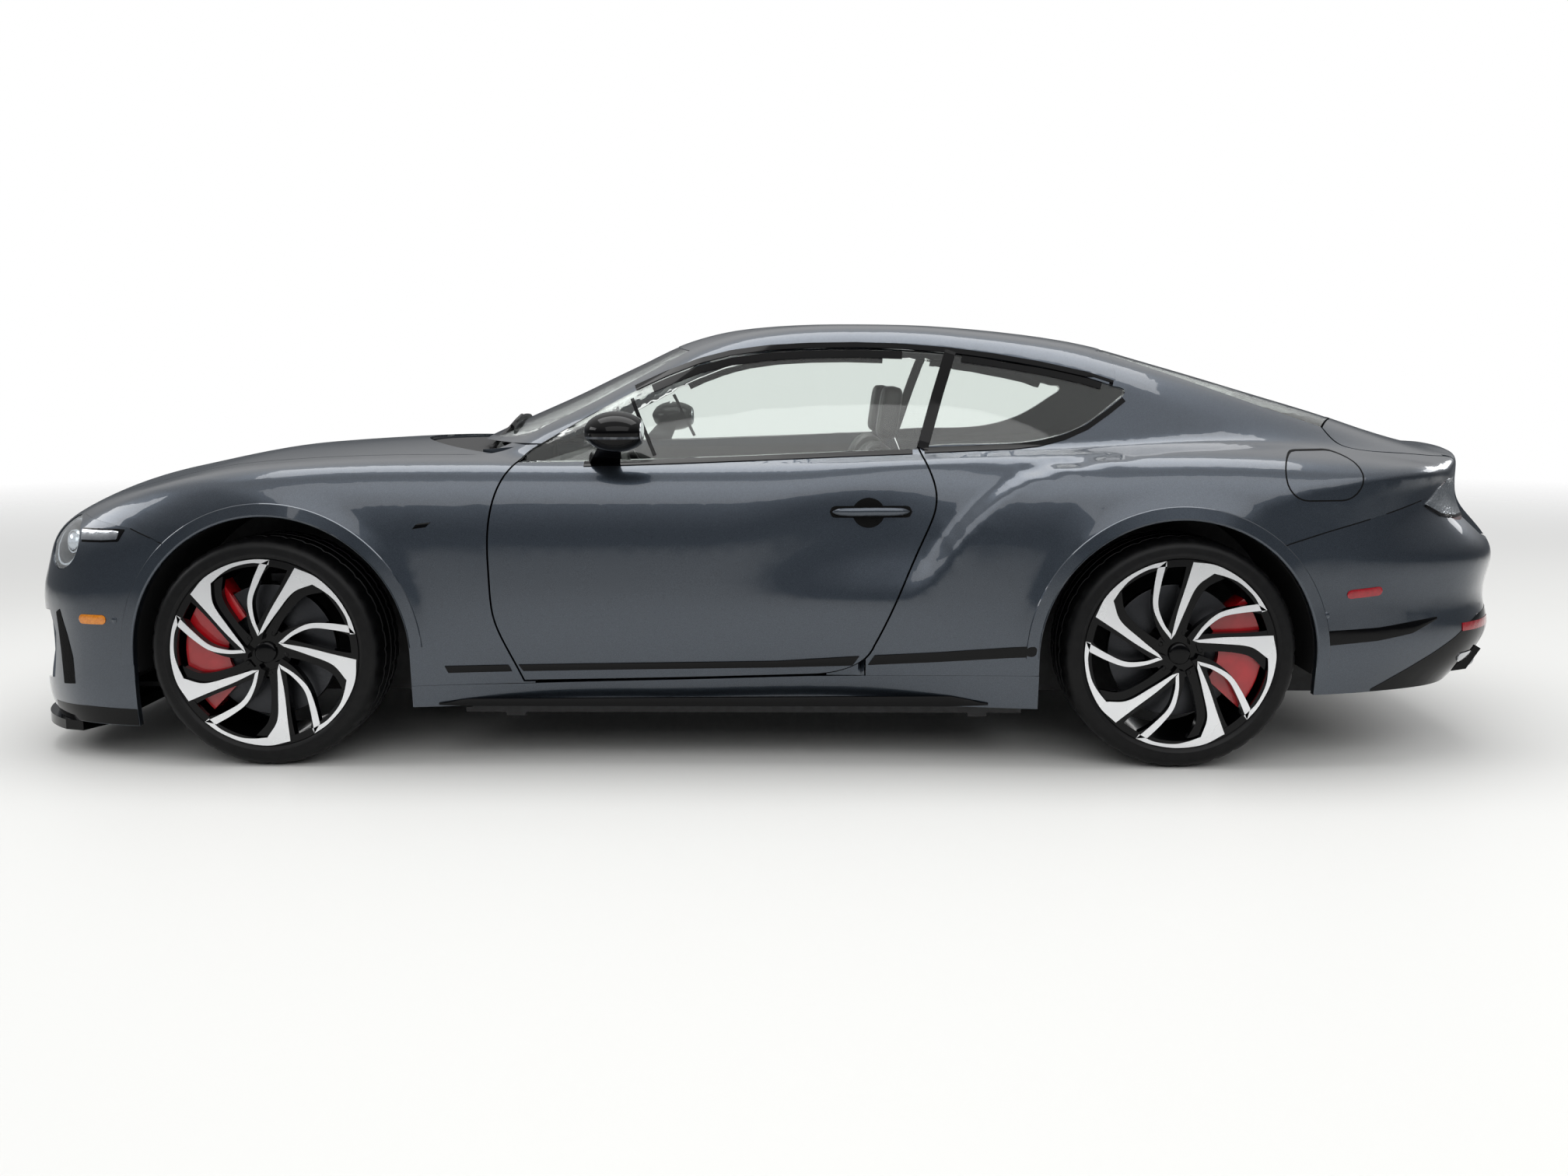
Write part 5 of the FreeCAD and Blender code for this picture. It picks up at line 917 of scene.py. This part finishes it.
def dress_mirrors():
    glass, strip = Shell(), Shell()
    middle = Vector((along(MIRROR_FACE[0]), MIRROR_FACE[1], MIRROR_FACE[2]))
    rings = ((1.0, -0.004), (1.0, 0.0012), (0.94, 0.0018), (0.5, 0.0018), (0.001, 0.0018))
    glass.grid([[middle + Vector((way, 0.050 * grow * math.cos(a), 0.033 * grow * math.sin(a)))
                 for a in whole_turn(40)] for grow, way in rings], closed_columns=True)
    glass.pair("mirror_glass", reflector)
    first, last, height = MIRROR_STRIP
    spots = [on_side(skin("mirror_l"), along(station), height) for station in spread(first, last, 31)]
    spots = [found for found in spots if found]
    outer, inner = [[[hit + normal * lift + UP * half for half in (-0.0035, 0.0035)] for hit, normal in spots]
                    for lift in (0.0012, -0.003)]
    strip.sheet(outer, inner, ends=False)
    strip.pair("mirror_strip", bright_steel)


dress_mirrors()

# Head lamps: (middle, facing, half length, half height) of the outer and the inner one
HEAD_LAMPS = (((-0.668, -0.762, 0.692), (-0.61, -0.79, 0.1), 0.100, 0.088),
              ((-0.800, -0.540, 0.672), (-0.93, -0.36, 0.1), 0.104, 0.103))
# Rings of each piece: (share of the lamp's size, depth behind its face)
COVER_RINGS = ((0.001, 0.0), (0.3, 0.0), (0.6, 0.0), (0.85, 0.0), (0.985, 0.0), (0.985, 0.003), (0.85, 0.003),
               (0.6, 0.003), (0.3, 0.003), (0.001, 0.003))
BOWL_RINGS = ((0.985, 0.0032), (0.975, 0.012), (0.93, 0.030), (0.80, 0.044), (0.5, 0.050), (0.001, 0.051))
TRIM_RINGS = ((0.80, 0.012), (0.86, 0.010), (0.90, 0.012), (0.90, 0.018), (0.80, 0.018))


def make_head_lamps():
    """Clear cover, dark bowl, bright ring and projector of each lamp."""
    covers, bowls, rings, projectors = Shell(), Shell(), Shell(), Shell()
    lamp_solid = skin("headlamps")
    for centre, facing, half_long, half_high in HEAD_LAMPS:
        out = Vector(facing).normalized()
        wide = out.cross(UP).normalized()
        tall = wide.cross(out)
        base = Vector((along(centre[0]), centre[1], centre[2]))

        def spot(share, angle, depth):
            place = base + (wide * (half_long * share * math.cos(angle))
                            + tall * (half_high * share * math.sin(angle)))
            for tried in (1.0, 0.97, 0.93, 0.85, 0.7):
                probe = base + (place - base) * tried
                found = met(lamp_solid, probe + out * 0.5, -out)
                if found:
                    return place + out * ((found[0] - probe).dot(out) - depth)
            return place - out * depth

        for shell, profile, closed in ((covers, COVER_RINGS, False), (bowls, BOWL_RINGS, False),
                                       (rings, TRIM_RINGS, True)):
            shell.grid([[spot(share, a, depth) for a in whole_turn(48)] for share, depth in profile],
                       closed_rows=closed, closed_columns=True)
        focus = spot(0.001, 0.0, 0.046)
        projectors.turned(focus, out, [(0.0, 0.040), (0.012, 0.040), (0.018, 0.037), (0.018, 0.033)], 40)
        dome = spread(0, math.pi / 2 * 0.998, 11)
        projectors.turned(focus, out, [(0.008, 0.033)] + [(0.008 + 0.024 * math.sin(a), 0.033 * math.cos(a))
                                                          for a in dome], 40)
    cover = covers.both().piece("lamp_covers", clear_lens)
    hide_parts("headlamps")
    bowls.both().piece("lamp_bowls", black_gloss)
    rings.both().piece("lamp_rings", reflector)
    projectors.both().piece("lamp_projectors", reflector)


make_head_lamps()

# Wipers at the foot of the windscreen: pivot, foot and tip of each blade, as (station, Y)
WIPERS = (((0.640, -0.500), (0.700, -0.380), (0.668, 0.060)),
          ((0.560, 0.120), (0.650, 0.240), (0.745, 0.600)))
BLADE_SECTION = ((0.0008, 0.0005), (0.010, 0.006), (0.019, 0.004), (0.019, -0.004), (0.010, -0.006),
                 (0.0008, -0.0005))


def make_wipers():
    screen = skin("windscreen", "cowl", "wings")
    arms, blades = Shell(), Shell()

    def on_screen(place):
        return on_top(screen, along(place[0]), place[1])

    for pivot, foot, tip in WIPERS:
        half_way = ((foot[0] + tip[0]) / 2, (foot[1] + tip[1]) / 2)
        (start, _), (middle, _), (rest, rest_up) = on_screen(pivot), on_screen(foot), on_screen(half_way)
        path = resample([start + UP * 0.008, middle + UP * 0.020, rest + rest_up * 0.020], 18)
        rings = []
        for k, point in enumerate(path):
            heading = (path[min(k + 1, 17)] - path[max(k - 1, 0)]).normalized()
            aside = heading.cross(UP).normalized()
            over = aside.cross(heading)
            half = 0.009 - 0.004 * k / 17
            rings.append([point + aside * half * a + over * 0.004 * b
                          for a, b in ((-1, -1), (-0.7, 0.8), (0.7, 0.8), (1, -1))])
        arms.loft(rings)
        arms.turned(start - UP * 0.004, UP,
                    [(0, 0.013), (0.012, 0.0125), (0.016, 0.009), (0.017, 0.0001)], 20)
        rings = []
        for share in spread(-0.22, 1.08, 30):
            found = on_screen((foot[0] + (tip[0] - foot[0]) * share, foot[1] + (tip[1] - foot[1]) * share))
            if not found:
                continue
            hit, normal = found
            ahead = (Vector((-1, 0, 0)) + normal * normal.x).normalized()
            rings.append([hit + normal * h + ahead * w for h, w in BLADE_SECTION])
        blades.loft(rings)
    arms.piece("wiper_arms", black_plastic)
    blades.piece("wiper_blades", rubber, slot="dark_plastic")


make_wipers()


# Seats: crowned cushions with bolsters and sewn flutes
def bulge(value, power):
    return math.copysign(abs(value) ** power, value)


def pad(shell, foot, way, rise, long, wide, thick, bolster, flutes, flute_depth=0.006):
    """Closed cushion along a direction, thick towards rise, with side bolsters and cross flutes."""
    way = Vector(way).normalized()
    rise = Vector(rise).normalized()
    aside = rise.cross(way).normalized()
    rings = []
    for u in spread(0, 1, 57):
        swell = max(max(1.0 - abs(2 * u - 1) ** 7, 0.0) ** (1 / 3.0), 0.02)
        ring = []
        for angle in whole_turn(44):
            v = bulge(math.cos(angle), 0.55) * (0.5 + 0.5 * swell if swell < 0.98 else 1.0)
            h = bulge(math.sin(angle), 0.5) * swell
            lift = thick / 2 * h
            if h > 0:
                lift += bolster * swell * max(abs(v) - 0.45, 0.0) ** 1.6 * 2.2
                if abs(v) < 0.62 and flutes:
                    wave = abs(math.sin(math.pi * flutes * u))
                    lift -= flute_depth * (1 - min(wave * 2.6, 1.0)) * swell
                if abs(abs(v) - 0.64) < 0.035:
                    lift -= flute_depth * 0.9 * swell
            ring.append(Vector(foot) + way * (long * u) + aside * (wide / 2 * v) + rise * lift)
        rings.append(ring)
    shell.loft(rings)


def lean(tilt):
    """Way up that leans back by this many degrees."""
    return Vector((math.sin(math.radians(tilt)), 0, math.cos(math.radians(tilt))))


def back_rest(shell, foot, tilt, *sizes):
    """Cushion that stands, leaning back."""
    way = lean(tilt)
    pad(shell, foot, way, (-way.z, 0, way.x), *sizes)


def make_seats():
    front, rear = Shell(), Shell()
    for y in (-0.37, 0.37):
        pad(front, (along(1.300), y, 0.392), (1, 0, -0.06), (0.06, 0, 1), 0.480, 0.48, 0.105, 0.050, 5)
        back_rest(front, (along(1.790), y, 0.430), 16, 0.585, 0.48, 0.100, 0.055, 7)
        back_rest(front, (along(1.962), y, 1.005), 8, 0.180, 0.235, 0.072, 0.0, 0)
        for post in (-0.05, 0.05):
            front.turned((along(1.950), y + post, 0.975), lean(10), [(0.0, 0.006), (0.06, 0.006)], 12)
    seats = front.piece("front_seat_cushions", hide)
    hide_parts("front_seats")
    for y in (-0.235, 0.235):
        pad(rear, (along(2.150), y, 0.470), (1, 0, -0.05), (0.05, 0, 1), 0.320, 0.440, 0.090, 0.030, 4)
        back_rest(rear, (along(2.425), y, 0.480), 8, 0.400, 0.440, 0.075, 0.030, 5)
    bench = rear.piece("rear_seat_cushions", hide)
    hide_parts("rear_seat")


make_seats()


# Cabin trim: headliner, console and lever, instruments, screen and mats
def make_headliner():
    rows = []
    for station in spread(1.36, 2.62, 31):
        row = [met(skin("roof"), (along(station), y, 1.0), UP) for y in spread(-0.50, 0.50, 21)]
        if None not in row:
            rows.append([hit - UP * 0.004 for hit, _ in row])
    liner = Shell()
    liner.grid(rows)
    liner.grid([[p - UP * 0.006 for p in row] for row in rows])
    liner.piece("headliner", headlining)


# Sections of the console: (station, half width, top)
CONSOLE = ((1.02, 0.09, 0.60), (1.12, 0.105, 0.585), (1.40, 0.11, 0.545), (1.60, 0.11, 0.555),
           (1.72, 0.105, 0.60), (1.98, 0.10, 0.60), (2.04, 0.085, 0.57))
CONSOLE_FOOT = 0.331
CONSOLE_SHAPE = ((-1, 0), (-1, 0.55), (-0.94, 0.9), (-0.75, 1.0), (0.75, 1.0), (0.94, 0.9), (1, 0.55), (1, 0))


def make_console():
    console, lever = Shell(), Shell()
    console.loft([[(along(station), half * a, CONSOLE_FOOT + (top - CONSOLE_FOOT) * b)
                   for a, b in CONSOLE_SHAPE] for station, half, top in CONSOLE], closed_rings=False)
    console.piece("centre_console", dash_hide)
    lever.turned((along(1.36), 0.0, 0.545), (-0.2, 0, 1),
                 [(0, 0.034), (0.012, 0.030), (0.05, 0.010), (0.085, 0.010), (0.095, 0.021), (0.125, 0.024),
                  (0.135, 0.016), (0.137, 0.0001)], 28)
    lever.piece("selector_lever", bright_steel)


# Middle of the instruments, as (Y, Z)
DRIVER, BINNACLE = -0.37, 0.905


def make_instruments():
    hood, dials, screen = Shell(), Shell(), Shell()
    half_turn = spread(0, math.pi, 25)
    for wide, tall in ((1.0, 1.0), (0.94, 0.9)):
        hood.grid([[(along(station), DRIVER + 0.165 * grow * math.cos(a) * wide,
                     BINNACLE + 0.062 * grow * math.sin(a) * tall) for a in half_turn]
                   for station, grow in ((0.86, 0.80), (0.93, 0.97), (0.99, 1.0), (1.015, 1.0))])
    hood.piece("instrument_hood", dash_hide)
    for y in (-0.445, -0.295):
        dials.turned((along(0.975), y, BINNACLE), (1, 0, 0.25),
                     [(0.0, 0.052), (0.008, 0.052), (0.009, 0.047), (0.002, 0.045), (0.001, 0.0001)], 36)
    dials.piece("instrument_dials", black_gloss)
    screen.loft([[(along(0.985) + back + 0.02 * (b < 0), 0.125 * a, 0.880 + 0.043 * b)
                  for a, b in ((-1, -1), (-1, 1), (1, 1), (1, -1))] for back in (0.0, 0.010)])
    screen.piece("centre_screen", black_gloss)


def make_mats():
    floor_top = met(skin("floor"), (along(1.1), -0.40, 0.6), (0, 0, -1))[0].z
    mats = Shell()
    for y in (-0.40, 0.40):
        for x0, x1 in ((0.70, 1.25), (1.86, 2.10)):
            corners = ((x0, -0.22), (x1, -0.22), (x1, 0.22), (x0, 0.22))
            mats.loft([[(along(x), y + w, floor_top + lift) for x, w in corners] for lift in (0.001, 0.010)])
    mats.piece("floor_mats", carpet)


make_headliner()
make_console()
make_instruments()
make_mats()


def make_stop_lamp():
    """Third stop lamp behind the top of the rear screen."""
    rings = []
    for y in spread(-0.16, 0.16, 25):
        hit, normal = on_top(skin("rear_screen"), along(2.790), y)
        rings.append([hit - normal * 0.008 + Vector((w, 0, h)) for w, h in
                      ((-0.012, 0), (0.012, -0.004), (0.012, -0.012), (-0.012, -0.012))])
    stop = Shell()
    stop.loft(rings)
    stop.piece("high_stop_lamp", red_lens)


make_stop_lamp()

# Y of the inner faces of the door and of its card
DOOR_INSIDE, CARD_FACE = -0.7790, -0.7785


def make_door_cards():
    """Moulded panel with an arm rest inside each door."""
    card, rest = Shell(), Shell()
    outer, inner = [], []
    for u in spread(0, 1, 33):
        x = along(0.860 + 1.060 * u)
        low = 0.400 - 0.040 * math.sin(math.pi * u)
        high = 0.925 + 0.012 * u
        outer.append([])
        for v in spread(0, 1, 15):
            bow = math.sin(math.pi * u) * math.sin(math.pi * v) if 0 < u < 1 and 0 < v < 1 else 0.0
            outer[-1].append((x, CARD_FACE + 0.016 * bow ** 0.35, low + (high - low) * v))
        inner.append([(x, DOOR_INSIDE, z) for _, _, z in outer[-1]])
    card.grid(outer)
    card.grid(inner)
    half_turn = spread(-math.pi / 2, math.pi / 2, 13)
    sections = []
    for u in spread(0, 1, 25):
        swell = max(1 - abs(2 * u - 1) ** 5, 0.02) ** 0.5
        sections.append([(along(1.22 + 0.52 * u), -0.766 + 0.062 * swell * max(math.cos(a), 0.0) ** 0.7,
                          0.655 + 0.020 * u + 0.032 * math.sin(a)) for a in half_turn])
    rest.grid(sections)
    card.pair("door_card", dash_hide)
    rest.pair("arm_rest", hide, slot="interior_trim")


make_door_cards()

# Arch mouldings: (nodes under them, X of the arch's middle, radius, first and last degrees)
ARCHES = {"front": (("wings", "front_bumper"), FRONT_AXLE + 0.018, 0.440, 4, 186),
          "rear": (("quarters", "rear_bumper", "sills"), REAR_AXLE - 0.006, 0.430, -10, 180)}
ARCH_HEIGHT = 0.351
ARCH_WIDE = 0.042


def make_arch(end):
    """A flat flare round the wheel opening."""
    names, middle, radius, first, last = ARCHES[end]
    rows = []
    for angle in spread(math.radians(first), math.radians(last), 97):
        rows.append([on_side(skin(*names), middle + (radius + grow) * math.cos(angle),
                             ARCH_HEIGHT + (radius + grow) * math.sin(angle))
                     for grow in (0.0015, 0.006, ARCH_WIDE - 0.003, ARCH_WIDE)])
    shell = Shell()
    shell.laid(rows, [0.0012, 0.0045, 0.0036, 0.0008], ends=False)
    shell.both().piece(end + "_arch_moulding", paint)


for end in ARCHES:
    make_arch(end)

BUMPER = skin("front_bumper")
# Intake slot in the bumper's corner
side_piece("corner_intake", [(-0.700, 0.240), (-0.708, 0.330), (-0.714, 0.400), (-0.722, 0.470)],
           [(-0.648, 0.246), (-0.652, 0.330), (-0.671, 0.400), (-0.702, 0.482)], 0.0015, black_duct_and_painted_shade, BUMPER,
           count=30, across=10)
# Black lip along the bumper's lower edge, ahead of the front wheels
side_piece("chin_lip", [(-0.760, 0.122), (-0.600, 0.122), (-0.385, 0.122)],
           [(-0.760, 0.172), (-0.600, 0.178), (-0.385, 0.176)], 0.0015, black_gloss, BUMPER, count=30)
# Upper edge of the black valance round the tail pipes, and the (station, Y) that the bumper turns about
VALANCE_TOP = [(3.420, 0.215), (3.504, 0.256), (3.600, 0.306), (3.682, 0.350), (3.752, 0.390), (3.812, 0.432),
               (3.860, 0.455), (3.950, 0.465)]
CORNER_MIDDLE = (3.440, -0.50)


def round_corner(bearing, z):
    """Rear bumper's skin met from outside at this height, on the way towards the corner's middle."""
    angle = math.radians(bearing)
    way = Vector((math.sin(angle), -math.cos(angle), 0))
    start = Vector((along(CORNER_MIDDLE[0]), CORNER_MIDDLE[1], z)) + way * 1.2
    return met(skin("rear_bumper"), start, -way, 1.15)


def corner_strip(name, first, last, top, bottom, proud, material, across=14):
    """Skin piece that runs round the rear bumper's corner between two heights."""
    rows = []
    for bearing in spread(first, last, 60):
        found = round_corner(bearing, 0.40)
        for _ in range(4):
            high = top(found[0].x - FRONT_AXLE) if found else None
            found = round_corner(bearing, high) if found else None
        if found is None:
            continue
        low = bottom
        while low < high and round_corner(bearing, low) is None:
            low += 0.002
        if high - low >= 0.004:
            rows.append([round_corner(bearing, z) for z in spread(low, high, across + 1)])
    shell = Shell()
    shell.laid(rows, proud)
    shell.both().piece(name, material)


corner_strip("tail_valance", 0, 90, lambda x: height_on(VALANCE_TOP, x), 0.200, 0.0015, black_gloss)
corner_strip("rear_reflectors", 50, 78, lambda x: 0.436, 0.410, 0.003, red_lens, across=4)
side_piece("pipe_trim", [(3.786, 0.302), (3.862, 0.300)], [(3.786, 0.334), (3.862, 0.334)], 0.006,
           bright_steel, skin("rear_bumper", "diffuser", "exhaust_tips"), round_ends=True)

# Pointed front of the tail lamp on the quarter, with a black rim under it
TAIL_SIDE = skin("rear_bumper", "quarters", "tail_lamps")
LAMP_TIP_LOW = [(3.628, 0.817), (3.690, 0.786), (3.752, 0.776), (3.800, 0.778)]
side_piece("tail_lamp_tip", LAMP_TIP_LOW, [(3.628, 0.821), (3.690, 0.862), (3.752, 0.890), (3.800, 0.892)],
           0.0040, faceted_lens, TAIL_SIDE, count=30, across=8)
line_piece("tail_lamp_rim", shifted(LAMP_TIP_LOW, 0.004), 0.008, 0.0045, black_gloss, TAIL_SIDE)

# Shut lines of the two bumpers, drawn as dark seams
REAR_SEAM = metres([(3090, 655), (3160, 703), (3290, 742), (3450, 785), (3622, 833)])
FRONT_SEAM = metres([(-240, 672), (-330, 716), (-415, 750)])
seams = Shell()
ribbon(seams, skin("rear_bumper", "quarters"), REAR_SEAM, 0.0035, 0.0006, 60)
ribbon(seams, skin("front_bumper", "wings"), FRONT_SEAM, 0.0035, 0.0006, 30)
seams.both().piece("bumper_seams", black_duct_and_painted_shade)

# Duct skins that close the corner intakes: Y of the inner edge, station of the outer one, foot and top
DUCT_INNER, DUCT_OUTER, DUCT_FOOT, DUCT_TOP = -0.525, -0.690, 0.235, 0.460


def make_ducts():
    """Curved skins just behind the bumper's face."""
    outer, inner = [], []
    for z in spread(DUCT_FOOT, DUCT_TOP, 16):
        near, far = on_nose(BUMPER, DUCT_INNER, z), on_side(BUMPER, along(DUCT_OUTER), z)
        if near is None or far is None:
            continue
        a, b = near[0] + Vector((0.010, 0, 0)), far[0] + Vector((0, 0.006, 0))
        bend = (a + b) / 2 + Vector((-0.024, -0.024, 0))
        outer.append([a * (1 - t) ** 2 + bend * 2 * t * (1 - t) + b * t * t for t in spread(0, 1, 17)])
        inner.append([spot + Vector((0.003, 0.003, 0)) for spot in outer[-1]])
    shell = Shell()
    shell.sheet(outer, inner, back=True)
    shell.both().piece("intake_ducts", black_duct_and_painted_shade)


make_ducts()

# Radiator core behind the grille, as a plate with cut corners: (Y, Z)
CORE_OUTLINE = ((-0.39, 0.14), (0.39, 0.14), (0.40, 0.15), (0.40, 0.66), (0.39, 0.67), (-0.39, 0.67),
                (-0.40, 0.66), (-0.40, 0.15))
core = Shell()
core.loft([[(along(station), y, z) for y, z in CORE_OUTLINE] for station in (-0.755, -0.735)])
core.piece("radiator_core", fins, smooth=False)

# Slim lamp blade that runs back from each outer head lamp into the wing, in a black surround
LAMP_SIDE = skin("wings", "front_bumper", "headlamps")
side_piece("blade_surround", [(-0.600, 0.702), (-0.520, 0.704), (-0.458, 0.708), (-0.436, 0.742)],
           [(-0.600, 0.746), (-0.520, 0.747), (-0.470, 0.748), (-0.436, 0.747)], 0.0012, black_gloss,
           LAMP_SIDE, count=30)
side_piece("lamp_blade", [(-0.602, 0.709), (-0.520, 0.711), (-0.463, 0.715), (-0.456, 0.734)],
           [(-0.602, 0.740), (-0.520, 0.741), (-0.475, 0.742), (-0.456, 0.739)], 0.0026, reflector, LAMP_SIDE,
           slot="head_lamp", count=30)
